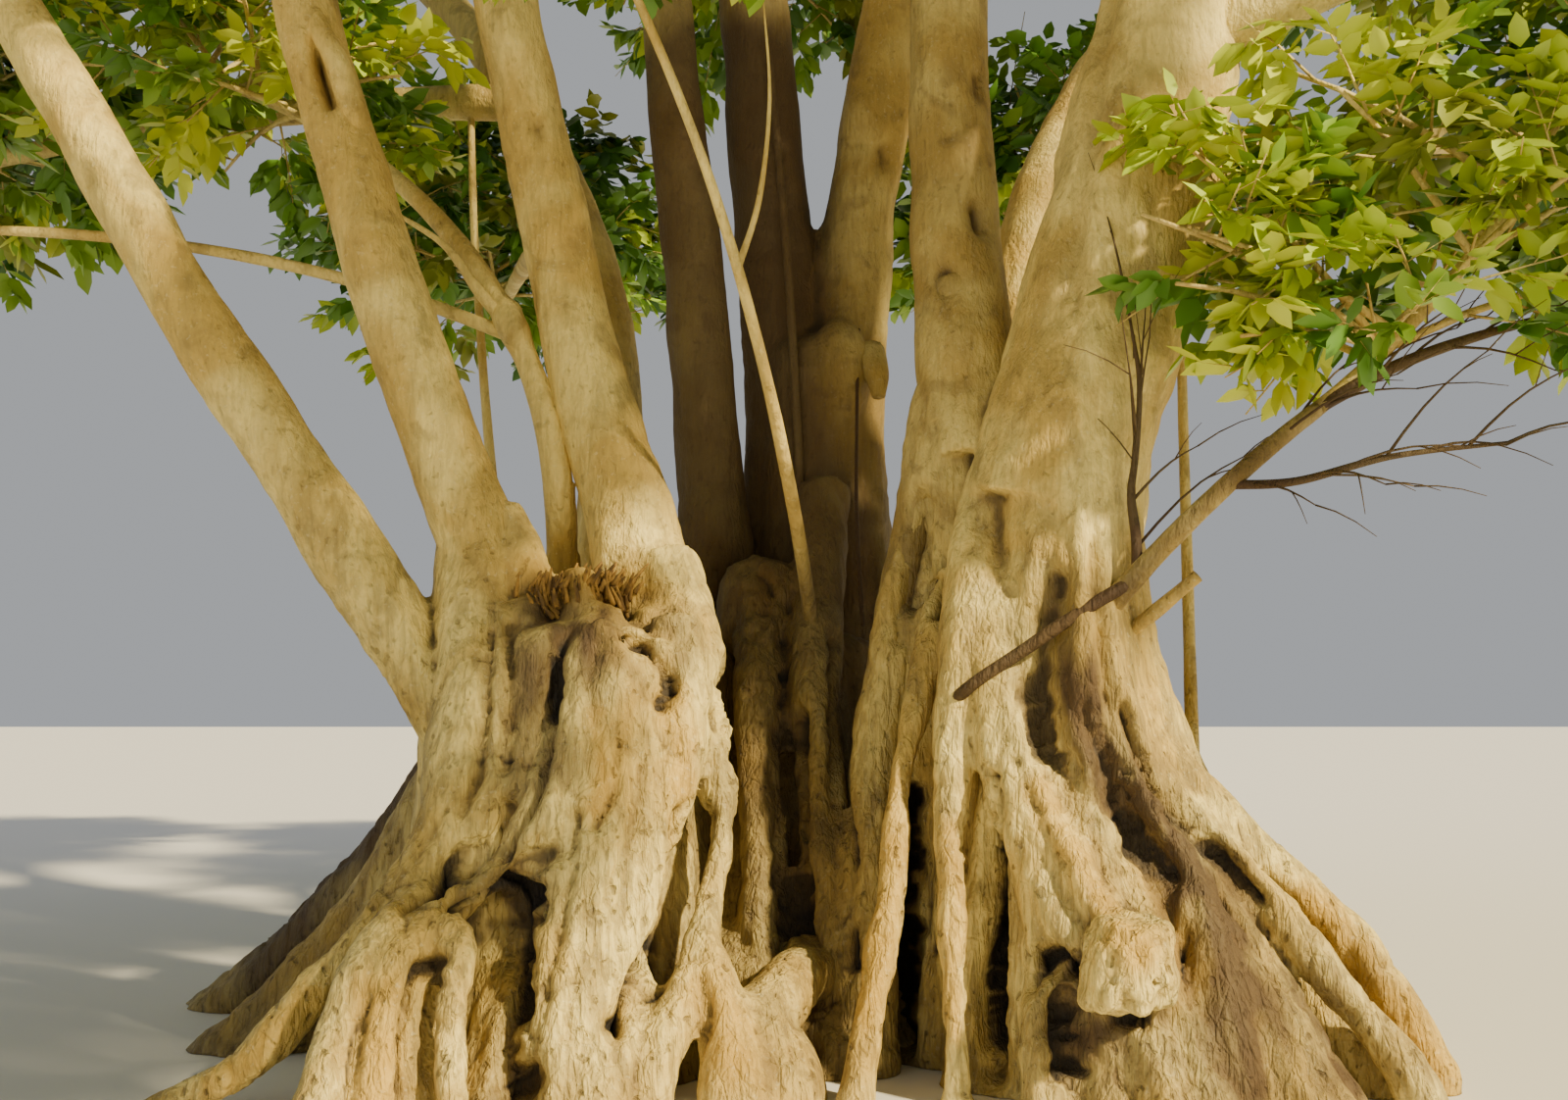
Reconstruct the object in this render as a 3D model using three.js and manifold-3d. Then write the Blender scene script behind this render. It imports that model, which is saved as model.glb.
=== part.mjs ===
// A large banyan tree: a fused trunk of many root columns, leaning stems, boughs and masses of foliage.
// Millimetres, +Z up. X runs to the right of the front view and Y away from it.
// The origin is on the ground, in the middle of the flat cut under the fused trunk.
import * as THREE from "three";
import { mergeVertices } from "three/addons/utils/BufferGeometryUtils.js";
import Module from "manifold-3d";

const wasm = await Module();
wasm.setup();
const { Manifold, Mesh } = wasm;

// Driving dimensions
const clearGap = 0.3; // between pieces that meet
const columnSides = 8;
const columnSteps = 3;
const stemSides = 8;
const stemSteps = 5;
const boughSides = 6;
const boughSteps = 3;
const slimSides = 5;
const underTrunk = -0.04; // the curve share where a stem's tube starts, before it is cut level
const stubSides = 4; // of a mass's own stem
const stubSteps = 2;
const knobGrid = [8, 6]; // sides and rings of a knob
const footSpread = 1.4; // how late a column widens on its way down: 1 is straight
const crownSway = { share: 0.07, step: 2.4 }; // how unevenly far out the masses of a ring stand
const crownLift = { height: 260, step: 1.9 }; // and how unevenly high
const boughKnee = 0.45; // share of its length where a bough arches
const entryDepth = 0.4; // share of a mass's reach from its middle to where its limb enters
const massStemEnd = { outward: 0.3, up: 0.15 }; // where a mass's stem ends, in shares of its reach
const massStemKnee = 0.4; // share of its length that it runs straight on from the limb
const massRadius = 2300; // of the mass that the sizes of leaves and twigs are for
const twigsInMass = 5;
const leavesInMass = 13;
const twigAims = { top: 0.95, fall: 1.6 }; // height of the first twig's aim, and how far the aims fall
const twigRoots = { top: 0.95, fall: 0.75 }; // the same for their roots on the mass's stem
const twigReach = 0.36; // share of the mass's reach where a twig ends
const leavesOnTwig = [
  { share: 0.97, turn: 0 },
  { share: 0.85, turn: 1.2 },
  { share: 0.7, turn: -1.2 },
  { share: 0.5, turn: 1.2 },
];
const leafLength = 1600; // one leaf here stands for a spray of real leaves
const leafWidth = 1150;
const leafThickness = 26;
const leafShoulder = 0.42; // share of its length where a leaf is widest
const leafSwing = 0.4; // how far a leaf may turn and nod from its place, in all
const leafDroop = 0.65; // above a half, more leaves hang than rise
const leafTilt = 0.6; // how far a leaf turns from the sky
const twigRadius = [30, 26]; // at its root and at its end
const massStemRadius = 70; // at its far end
const massStemTaper = [0.97, 0.9]; // its root and its far end, against the limb's tip
const limbClearance = 60; // kept between foliage and every limb
const cellClearance = 30; // kept between a mass and its neighbours' space
const sampleStep = 120; // between the points that stand for a limb
const halvings = 40; // in the search for a height on a limb
const columnSamples = 12;
const sprigSamples = 6;
const sliver = 0.5; // the finest detail kept where leaves and twigs join
const goldenAngle = Math.PI * (3 - Math.sqrt(5));

const bark = new THREE.MeshStandardMaterial({ color: "#a08a66", roughness: 0.9, metalness: 0 });
const foliage = new THREE.MeshStandardMaterial({ color: "#6f9a24", roughness: 0.7, metalness: 0 });

const point = (x, y, z) => new THREE.Vector3(x, y, z);
const up = point(0, 0, 1);
const mix = THREE.MathUtils.lerp;

// Columns of the fused trunk: head [x, y, z, radius], foot [x, y, radius along its lean, radius across].
// bend is how late the column swings out: 1 is straight, 3 hangs down and then runs out at the ground.
// rise lifts the foot off the ground, for a column that starts inside another.
const columns = [
  { head: [1440, -1000, 3050, 460], foot: [1450, -700, 1120, 900], bend: 2 },
  { head: [1560, -950, 2350, 220], foot: [2560, -1300, 330, 260], bend: 1.6 },
  { head: [1430, -1150, 2250, 240], foot: [2100, -1720, 340, 280], bend: 1.6 },
  { head: [1250, -1230, 2150, 220], foot: [1600, -1820, 300, 260], bend: 1.5 },
  { head: [1020, -1200, 2050, 190], foot: [1080, -1760, 240, 200], bend: 1.4 },
  { head: [870, -1250, 1800, 130], foot: [690, -1690, 130, 120], bend: 1.2 },
  { head: [760, -1080, 1950, 130], foot: [350, -1560, 130, 120], bend: 1 },
  { head: [1560, -600, 2200, 200], foot: [2550, 150, 300, 210], bend: 1.9 },
  { head: [1250, -500, 2000, 220], foot: [1800, 700, 300, 240], bend: 1.7 },
  { head: [930, -580, 3350, 260], foot: [560, -560, 480, 420], bend: 0.8 },
  { head: [1350, 550, 2950, 290], foot: [1500, 1300, 520, 420], bend: 1.4 },
  { head: [1500, 700, 2000, 200], foot: [2500, 1650, 280, 200], bend: 2 },
  { head: [190, 900, 3750, 420], foot: [180, 1100, 800, 760], bend: 1.5 },
  { head: [-50, 900, 4450, 250], foot: [100, 900, 300, 300], bend: 1, rise: 3000 },
  { head: [430, 900, 4450, 230], foot: [280, 900, 300, 300], bend: 1, rise: 3000 },
  { head: [400, 1200, 2100, 220], foot: [450, 2450, 300, 230], bend: 2 },
  { head: [-100, 1150, 2000, 220], foot: [-550, 2300, 280, 220], bend: 1.9 },
  { head: [100, 250, 2150, 520], foot: [100, 50, 1250, 1150], bend: 1.3 },
  { head: [-960, -800, 2050, 600], foot: [-1060, -980, 960, 850], bend: 1.4 },
  { head: [-700, 450, 1850, 620], foot: [-700, 600, 1250, 1000], bend: 1.4 },
  { head: [-810, -420, 2700, 220], foot: [-380, -1450, 180, 150], bend: 0.75 },
  { head: [-400, -1420, 700, 110], foot: [-260, -1730, 250, 220], bend: 1.4 },
  { head: [-1160, -300, 2450, 95], foot: [-1200, -250, 350, 300], bend: 1 },
  { head: [-1500, -800, 2500, 205], foot: [-2480, -1600, 150, 120], bend: 3 },
  { head: [-2060, -950, 2350, 190], foot: [-1500, -930, 170, 170], bend: 1, rise: 1450 },
  { head: [-1290, -880, 2250, 130], foot: [-1400, -1480, 230, 200], bend: 1.5 },
  { head: [-1080, -1140, 2000, 240], foot: [-1180, -1800, 300, 280], bend: 1.5 },
  { head: [-720, -1120, 1900, 240], foot: [-740, -1740, 290, 260], bend: 1.5 },
  { head: [-1520, -1350, 1000, 140], foot: [-1650, -2060, 270, 230], bend: 1.3 },
  { head: [-1380, -1400, 900, 130], foot: [-1290, -2000, 160, 130], bend: 1.2 },
  { head: [-1450, -150, 2000, 300], foot: [-3050, 600, 360, 240], bend: 1.8 },
  { head: [-1480, -500, 1900, 260], foot: [-2600, -500, 320, 240], bend: 2 },
  { head: [-1100, 1200, 2450, 240], foot: [-1250, 1450, 700, 560], bend: 1.4 },
  { head: [-1200, 1300, 1900, 200], foot: [-2350, 2150, 280, 200], bend: 2 },
  { head: [-420, 500, 2950, 200], foot: [-350, 600, 620, 560], bend: 1.2 },
  { head: [-980, -960, 2330, 90], foot: [-980, -950, 200, 200], bend: 1, rise: 1500 },
  { head: [-640, -880, 2160, 100], foot: [-660, -900, 200, 200], bend: 1, rise: 1400 },
];

// Rounded knobs on the fused trunk: a sawn root, a broken bough and the stump behind the hollow.
const knobs = [
  { centre: [1340, -1960, 560], radii: [240, 290, 250] },
  { centre: [330, 640, 3620], radii: [180, 210, 330] },
  { centre: [-130, 150, 2180], radii: [260, 220, 300] },
];

// Rings of foliage round the tree: how many masses, how far out, how high, and each mass's half sizes.
const crownRings = {
  top: { count: 1, out: 0, height: 14100, turn: 0, reach: [2500, 2500, 1100] },
  upper: { count: 6, out: 4200, height: 12100, turn: 0, reach: [2500, 2300, 1800] },
  middle: { count: 8, out: 7000, height: 9500, turn: 0, reach: [2500, 2700, 1900] },
  skirt: { count: 8, out: 7500, height: 6500, turn: 22.5, reach: [2300, 2900, 1700] },
};

// Small masses low down, placed one by one.
const lowMasses = {
  low_right: { centre: [2900, -1500, 3850], reach: [1700, 1050, 1050] },
  low_left: { centre: [-3300, 800, 5500], reach: [1500, 1400, 950] },
  far_left: { centre: [-5500, -500, 4550], reach: [1100, 1000, 800] },
  front: { centre: [-760, -1750, 5350], reach: [1050, 800, 700] },
};

// Stems: base and a waist some way up as [x, y, z], radius at base and tip, and the mass each carries.
const stems = {
  stem_left_outer: {
    base: [-2060, -950, 2350],
    waist: [-3870, -950, 5180],
    radii: [180, 85],
    mass: "middle_4",
  },
  stem_left: { base: [-1500, -800, 2500], waist: [-2450, -800, 5250], radii: [200, 75], mass: "upper_3" },
  stem_slender: { base: [-1160, -300, 2450], waist: [-1460, -300, 3690], radii: [80, 45], mass: "low_left" },
  stem_mid_left: { base: [-810, -420, 2700], waist: [-1470, -400, 5280], radii: [215, 75], mass: "upper_4" },
  stem_rear_left: { base: [-420, 500, 2950], waist: [-640, 500, 5270], radii: [190, 75], mass: "upper_2" },
  stem_centre: { base: [-50, 900, 4450], waist: [-160, 900, 5600], radii: [245, 80], mass: "top_0" },
  stem_centre_fork: { base: [430, 900, 4450], waist: [650, 950, 5890], radii: [225, 75], mass: "upper_1" },
  stem_mid_right: { base: [930, -580, 3350], waist: [890, -400, 5450], radii: [250, 75], mass: "upper_5" },
  stem_main_right: {
    base: [1440, -1000, 3050],
    waist: [1970, -900, 5200],
    radii: [450, 95],
    mass: "upper_0",
  },
  stem_back_left: {
    base: [-1100, 1200, 2450],
    waist: [-1650, 1900, 5500],
    radii: [230, 85],
    mass: "middle_3",
  },
  stem_back_right: { base: [1350, 550, 2950], waist: [1720, 1000, 5040], radii: [280, 90], mass: "middle_1" },
};

// Boughs: the stem each leaves and at what height, radii at root and tip, the mass, and how far it arches.
const boughs = {
  bough_right: { from: "stem_main_right", height: 7400, radii: [150, 65], mass: "middle_0", lift: 150 },
  bough_back: { from: "stem_centre_fork", height: 7300, radii: [125, 60], mass: "middle_2", lift: 200 },
  bough_front_left: { from: "stem_left", height: 6900, radii: [120, 60], mass: "middle_5", lift: 150 },
  bough_front: { from: "stem_mid_right", height: 7200, radii: [130, 60], mass: "middle_6", lift: 150 },
  bough_front_right: { from: "stem_main_right", height: 6500, radii: [170, 65], mass: "middle_7", lift: 150 },
  bough_low_right_back: {
    from: "stem_back_right",
    height: 4700,
    radii: [190, 70],
    mass: "skirt_0",
    lift: 550,
  },
  bough_low_back_right: {
    from: "stem_back_right",
    height: 5900,
    radii: [150, 60],
    mass: "skirt_1",
    lift: 300,
  },
  bough_low_back_left: { from: "stem_back_left", height: 4700, radii: [130, 60], mass: "skirt_2", lift: 400 },
  bough_low_left_back: { from: "stem_back_left", height: 5900, radii: [130, 60], mass: "skirt_3", lift: 250 },
  bough_low_left_front: {
    from: "stem_left_outer",
    height: 5600,
    radii: [110, 55],
    mass: "skirt_4",
    lift: 200,
  },
  bough_low_front_left: { from: "stem_left", height: 5900, radii: [120, 55], mass: "skirt_5", lift: 350 },
  bough_low_front_right: {
    from: "stem_main_right",
    height: 5700,
    radii: [150, 60],
    mass: "skirt_6",
    lift: 350,
  },
  bough_low_right_front: {
    from: "stem_main_right",
    height: 4900,
    radii: [170, 65],
    mass: "skirt_7",
    lift: 450,
  },
};

// Slim limbs between two points, with a knee: root, knee, tip, radii and the mass carried, if any.
const slimLimbs = {
  branch_low_right: {
    root: [1330, -1330, 1950],
    knee: [1750, -1800, 2520],
    tip: [2350, -1620, 2960],
    radii: [55, 34],
    mass: "low_right",
  },
  branch_low_left: {
    root: [-1440, -300, 3620],
    knee: [-2900, -300, 4250],
    tip: [-4700, -380, 4180],
    radii: [38, 24],
    mass: "far_left",
  },
  shoot_front: {
    root: [150, -180, 2060],
    knee: [-60, -1150, 3650],
    tip: [-700, -1620, 4930],
    radii: [38, 20],
    mass: "front",
  },
};

// Aerial roots: where each has rooted in the trunk, the limb and share of its length that it hangs from,
// and how far its knee has swung from above its root to below its top.
const aerialRoots = {
  aerial_root_front: {
    root: [110, 430, 2050],
    from: "stem_centre",
    share: 0.27,
    swing: 0.1,
    radii: [30, 18],
  },
  aerial_root_left: {
    root: [-1520, 1540, 850],
    from: "bough_low_left_back",
    share: 0.1,
    swing: 0.85,
    radii: [42, 24],
  },
  aerial_root_right: {
    root: [2150, -150, 450],
    from: "bough_low_right_back",
    share: 0.22,
    swing: 0.85,
    radii: [42, 24],
  },
};

const massCentres = new Map();
for (const [ring, spec] of Object.entries(crownRings))
  for (let i = 0; i < spec.count; i++) {
    const turn = THREE.MathUtils.degToRad(spec.turn + (360 * i) / spec.count);
    const sway = 1 + crownSway.share * Math.sin(crownSway.step * i + spec.height);
    const lift = crownLift.height * Math.cos(crownLift.step * i + spec.out);
    massCentres.set(`${ring}_${i}`, {
      centre: point(spec.out * sway * Math.cos(turn), spec.out * sway * Math.sin(turn), spec.height + lift),
      reach: point(...spec.reach),
      outward: point(Math.cos(turn), Math.sin(turn), 0).multiplyScalar(spec.out ? 1 : 0),
    });
  }
for (const [name, { centre, reach }] of Object.entries(lowMasses)) {
  const middle = point(...centre);
  const outward = point(middle.x, middle.y, 0).normalize();
  massCentres.set(name, { centre: middle, reach: point(...reach), outward });
}

// Where a limb enters its mass: inside it, on the trunk's side and below the middle.
function entryPoint({ centre, reach, outward }) {
  return centre
    .clone()
    .addScaledVector(outward, -entryDepth * reach.x)
    .addScaledVector(up, -entryDepth * reach.z);
}

// The quadratic curve from base to tip that passes through waist at its share of the height.
function curveThrough(base, waist, tip) {
  const share = (waist.z - base.z) / (tip.z - base.z);
  const knee = waist
    .clone()
    .addScaledVector(base, -((1 - share) ** 2))
    .addScaledVector(tip, -(share ** 2))
    .divideScalar(2 * share * (1 - share));
  return new THREE.QuadraticBezierCurve3(base, knee, tip);
}

// The curve parameter at which a rising limb passes a height.
function shareAtHeight(curve, height) {
  let low = 0;
  let high = 1;
  for (let i = 0; i < halvings; i++) {
    const middle = (low + high) / 2;
    if (curve.getPoint(middle).z < height) low = middle;
    else high = middle;
  }
  return low;
}

// A number from 0 to 1 that depends only on its three whole-number seeds.
function seeded(a, b, c) {
  const wave = Math.sin(a * 12.9898 + b * 78.233 + c * 37.719) * 43758.5453;
  return wave - Math.floor(wave);
}

function solidOf(geometry) {
  return new Manifold(
    new Mesh({
      numProp: 3,
      vertProperties: geometry.getAttribute("position").array,
      triVerts: new Uint32Array(geometry.index.array),
    }),
  );
}

// A closed shape of three.js with its vertices merged and moved by place(vertex).
function shaped(geometry, place) {
  geometry.deleteAttribute("normal");
  geometry.deleteAttribute("uv");
  const merged = mergeVertices(geometry);
  const position = merged.getAttribute("position");
  for (let i = 0; i < position.count; i++) {
    const moved = place(point(position.getX(i), position.getY(i), position.getZ(i)));
    position.setXYZ(i, moved.x, moved.y, moved.z);
  }
  return solidOf(merged);
}

// A tube whose ring at t has its middle, side and front directions and radii from ringAt(t).
function tube(sides, steps, ringAt) {
  return shaped(new THREE.CylinderGeometry(1, 1, 1, sides, steps), (v) => {
    const { middle, side, front } = ringAt(v.y + 0.5);
    return middle.clone().addScaledVector(side, v.x).addScaledVector(front, v.z);
  });
}

// A tapered limb along a curve, with rings square to it; grow adds to every side and both ends.
function limbSolid({ curve, radii, sides, steps, start = 0 }, grow = 0) {
  const chord = curve.getPoint(1).sub(curve.getPoint(0));
  const level = point(chord.y, -chord.x, 0);
  if (level.lengthSq() < 1) level.set(1, 0, 0);
  return tube(sides, steps, (share) => {
    const t = mix(start, 1, share);
    const along = curve.getTangent(Math.max(0, t));
    const side = level.clone().addScaledVector(along, -level.dot(along)).normalize();
    const radius = mix(radii[0], radii[1], Math.max(0, t)) + grow;
    const front = side.clone().cross(along).multiplyScalar(radius);
    const past = share < 0.01 ? -grow : share > 0.99 ? grow : 0;
    const middle = curve.getPoint(t).addScaledVector(along, past);
    return { middle, side: side.multiplyScalar(radius), front };
  });
}

// A root column with level rings, from its foot on the ground or inside the trunk up to its head.
function columnSolid({ head, foot, bend, rise = 0 }, grow) {
  const lean = point(foot[0] - head[0], foot[1] - head[1], 0);
  const along = lean.lengthSq() < 1 ? point(1, 0, 0) : lean.clone().normalize();
  const across = along.clone().cross(up);
  return tube(columnSides, columnSteps, (share) => {
    const down = 1 - share;
    const middle = point(head[0], head[1], mix(rise, head[2] + grow / 2, share));
    middle.addScaledVector(lean, down ** bend);
    const spread = down ** footSpread;
    return {
      middle,
      side: along.clone().multiplyScalar(mix(head[3], foot[2], spread) + grow),
      front: across.clone().multiplyScalar(mix(head[3], foot[3], spread) + grow),
    };
  });
}

function knobSolid({ centre, radii }, grow) {
  return shaped(new THREE.SphereGeometry(1, ...knobGrid), (v) =>
    point(
      centre[0] + v.x * (radii[0] + grow),
      centre[1] + v.z * (radii[1] + grow),
      centre[2] - v.y * (radii[2] + grow),
    ),
  );
}

function trunkSolid(grow = 0) {
  const shapes = columns.map((column) => columnSolid(column, grow));
  for (const knob of knobs) shapes.push(knobSolid(knob, grow));
  return Manifold.union(shapes);
}

// The largest body of a solid, without loose scraps and with sealed hollows filled.
function largestBody(solid) {
  return solid.decompose().reduce((best, body) => (body.volume() > best.volume() ? body : best));
}

const limbs = new Map();
for (const [name, { base, waist, radii, mass }] of Object.entries(stems)) {
  const curve = curveThrough(point(...base), point(...waist), entryPoint(massCentres.get(mass)));
  limbs.set(name, { curve, radii, mass, sides: stemSides, steps: stemSteps, start: underTrunk });
}
for (const [name, { from, height, radii, mass, lift }] of Object.entries(boughs)) {
  const parent = limbs.get(from).curve;
  const root = parent.getPoint(shareAtHeight(parent, height));
  const tip = entryPoint(massCentres.get(mass));
  const knee = root.clone().lerp(tip, boughKnee).addScaledVector(up, lift);
  const curve = new THREE.QuadraticBezierCurve3(root, knee, tip);
  limbs.set(name, { curve, radii, mass, from, sides: boughSides, steps: boughSteps });
}
for (const [name, { root, knee, tip, radii, mass }] of Object.entries(slimLimbs)) {
  const curve = new THREE.QuadraticBezierCurve3(point(...root), point(...knee), point(...tip));
  limbs.set(name, { curve, radii, mass, sides: slimSides, steps: boughSteps });
}
for (const [name, { root, from, share, swing, radii }] of Object.entries(aerialRoots)) {
  const tip = limbs.get(from).curve.getPoint(share);
  const foot = point(...root);
  const knee = point(mix(foot.x, tip.x, swing), mix(foot.y, tip.y, swing), mix(foot.z, tip.z, 0.5));
  const curve = new THREE.QuadraticBezierCurve3(foot, knee, tip);
  limbs.set(name, { curve, radii, sides: slimSides, steps: boughSteps });
}

// Points along every limb with their radii, for keeping foliage off the wood.
const limbSamples = [];
for (const { curve, radii } of limbs.values()) {
  const count = Math.ceil(curve.getLength() / sampleStep);
  for (let i = 0; i <= count; i++)
    limbSamples.push({ middle: curve.getPoint(i / count), radius: mix(radii[0], radii[1], i / count) });
}
for (const { head, foot, bend, rise = 0 } of columns)
  for (let i = 0; i <= columnSamples; i++) {
    const down = i / columnSamples;
    const middle = point(head[0], head[1], mix(head[2], rise, down));
    middle.x += (foot[0] - head[0]) * down ** bend;
    middle.y += (foot[1] - head[1]) * down ** bend;
    limbSamples.push({ middle, radius: mix(head[3], foot[2], down ** footSpread) });
  }

// How deep inside its own space a point lies: the mass's ellipsoid and the planes towards its neighbours.
function insideOwnSpace(spot, name) {
  const own = massCentres.get(name);
  const offset = spot.clone().sub(own.centre);
  if (offset.divide(own.reach).lengthSq() > 1) return false;
  for (const [other, { centre, reach }] of massCentres) {
    if (other === name) continue;
    const apart = centre.clone().sub(own.centre);
    const gap = apart.length();
    const share = (gap * gap + own.reach.x ** 2 - reach.x ** 2) / (2 * gap);
    if (spot.clone().sub(own.centre).dot(apart) / gap > share - cellClearance) return false;
  }
  return true;
}

function clearOfLimbs(spot, margin) {
  return limbSamples.every(({ middle, radius }) => middle.distanceTo(spot) > radius + margin + limbClearance);
}

// True where a sprig from a to b, with a half width, stays in its mass's space and off the limbs.
function sprigFits(name, a, b, halfWidth) {
  const across = b.clone().sub(a).cross(up).setLength(halfWidth);
  for (let i = 0; i <= sprigSamples; i++) {
    const share = i / sprigSamples;
    if (!clearOfLimbs(a.clone().lerp(b, share), halfWidth * Math.sin(Math.PI * share))) return false;
  }
  const middle = a.clone().lerp(b, 0.5);
  const edges = [middle.clone().add(across), middle.clone().sub(across)];
  return [a, b, ...edges].every((spot) => insideOwnSpace(spot, name));
}

// A leaf of 8 faces: its point sunk to the twig's middle, widest near its root, tip pointing along.
function leafSolid(root, along, facing, scale) {
  const side = along.clone().cross(facing).normalize();
  const face = side.clone().cross(along);
  const forward = { back: 0, middle: leafShoulder * leafLength * scale, front: leafLength * scale };
  return shaped(new THREE.OctahedronGeometry(1, 0), (v) =>
    root
      .clone()
      .addScaledVector(along, v.x < -0.5 ? forward.back : v.x > 0.5 ? forward.front : forward.middle)
      .addScaledVector(face, (v.y * leafThickness * scale) / 2)
      .addScaledVector(side, (v.z * leafWidth * scale) / 2),
  );
}

// Leaves face the sky, each turned a little towards a side of its own.
function leafFacing(seed, k, j) {
  const turn = 2 * Math.PI * seeded(seed, k, 30 + j);
  return point(leafTilt * Math.cos(turn), leafTilt * Math.sin(turn), 1);
}

// The stem that carries on from a limb's tip into its mass.
function massStem(name, limb) {
  const { centre, reach, outward } = massCentres.get(name);
  const heading = limb.curve.getTangent(1);
  const root = limb.curve.getPoint(1).addScaledVector(heading, clearGap);
  const end = centre
    .clone()
    .addScaledVector(outward, massStemEnd.outward * reach.x)
    .addScaledVector(up, massStemEnd.up * reach.z);
  const knee = root.clone().addScaledVector(heading, massStemKnee * root.distanceTo(end));
  const curve = new THREE.QuadraticBezierCurve3(root, knee, end);
  const [rootRadius, endRadius] = massStemTaper.map((share) => share * limb.radii[1]);
  const radii = [rootRadius, Math.min(massStemRadius, endRadius)];
  return { curve, radii, sides: stubSides, steps: stubSteps };
}

// The twigs of a mass, from its stem out towards its skin.
function growTwigs(name, stem, seed, scale) {
  const { centre, reach } = massCentres.get(name);
  const twigs = [];
  for (let k = 0; k < twigsInMass; k++) {
    const place = (k + 0.5) / twigsInMass;
    const height = twigAims.top - twigAims.fall * place;
    const turn = k * goldenAngle + 2 * Math.PI * seeded(seed, 0, 1);
    const flat = Math.sqrt(1 - height * height);
    const aim = point(flat * Math.cos(turn), flat * Math.sin(turn), height);
    const root = stem.curve.getPoint(twigRoots.top - twigRoots.fall * place);
    const tip = centre.clone().add(aim.multiply(reach).multiplyScalar(twigReach));
    const radii = twigRadius.map((radius) => radius * scale);
    twigs.push({ root, tip, curve: new THREE.LineCurve3(root, tip), radii, sides: 3, steps: 1 });
  }
  return twigs;
}

// The places for leaves along a twig: one beyond its tip and some at each side, drooping a little.
function leafPlaces({ root, tip }, seed, k) {
  const ahead = tip.clone().sub(root).normalize();
  const level = point(-ahead.y, ahead.x, 0).normalize();
  return leavesOnTwig.map(({ share, turn }, j) => {
    const swing = turn + leafSwing * (seeded(seed, k, 10 + j) - 0.5);
    const along = ahead.clone().multiplyScalar(Math.cos(swing)).addScaledVector(level, Math.sin(swing));
    along.z += leafSwing * (seeded(seed, k, 20 + j) - leafDroop);
    return { base: root.clone().lerp(tip, share), along: along.normalize() };
  });
}

// A mass of foliage: a stem, twigs, and the leaves that keep to its space and cross nothing but their twig.
function massSolid(name, limb, seed) {
  const { reach } = massCentres.get(name);
  const scale = (reach.x + reach.y + reach.z) / 3 / massRadius;
  const stem = massStem(name, limb);
  const stemSolid = limbSolid(stem);
  const twigs = growTwigs(name, stem, seed, scale);
  const twigSolids = twigs.map((twig) => limbSolid(twig));
  const leaves = [];
  for (let j = 0; j < leavesOnTwig.length; j++)
    twigs.forEach((twig, k) => {
      if (leaves.length === leavesInMass) return;
      const { base, along } = leafPlaces(twig, seed, k)[j];
      const far = base.clone().addScaledVector(along, leafLength * scale);
      if (!sprigFits(name, base, far, (leafWidth * scale) / 2)) return;
      const leaf = leafSolid(base, along, leafFacing(seed, k, j), scale);
      const others = [stemSolid, ...twigSolids.filter((other) => other !== twigSolids[k]), ...leaves];
      if (others.every((other) => leaf.intersect(other).isEmpty())) leaves.push(leaf);
    });
  return largestBody(Manifold.union([stemSolid, ...twigSolids, ...leaves]).simplify(sliver));
}

const tree = new THREE.Group();
function addNode(name, solid, material) {
  const { numProp, vertProperties, triVerts } = solid.getMesh();
  const position = new Float32Array((vertProperties.length / numProp) * 3);
  for (let i = 0; i < position.length / 3; i++)
    position.set(vertProperties.subarray(i * numProp, i * numProp + 3), i * 3);
  const geometry = new THREE.BufferGeometry();
  geometry.setAttribute("position", new THREE.BufferAttribute(position, 3));
  geometry.setIndex(new THREE.BufferAttribute(triVerts, 1));
  geometry.computeVertexNormals();
  const mesh = new THREE.Mesh(geometry, material);
  mesh.name = name;
  tree.add(mesh);
}

// A limb as it stands: a stem is cut level just above the column that carries it.
function standingLimb(name, grow = 0) {
  const solid = limbSolid(limbs.get(name), grow);
  return stems[name] ? solid.trimByPlane([0, 0, 1], stems[name].base[2] + clearGap - grow) : solid;
}

addNode("trunk", largestBody(trunkSolid()), bark);
const limbNames = [...limbs.keys()];
limbNames.forEach((name, index) => {
  const earlier = limbNames.slice(0, index).map((other) => standingLimb(other, clearGap));
  const rest = standingLimb(name).subtract(Manifold.union([trunkSolid(clearGap), ...earlier]));
  addNode(name, largestBody(rest), bark);
});

let seed = 1;
for (const limb of limbs.values())
  if (limb.mass) addNode(`foliage_${limb.mass}`, massSolid(limb.mass, limb, seed++), foliage);

export default tree;
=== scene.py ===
# Banyan tree: fused root columns, leaning stems, boughs and a full crown of leaves, in metres.
# X runs to the right of the front view, Y away from it, and Z up from the ground under the trunk.
import math

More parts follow.
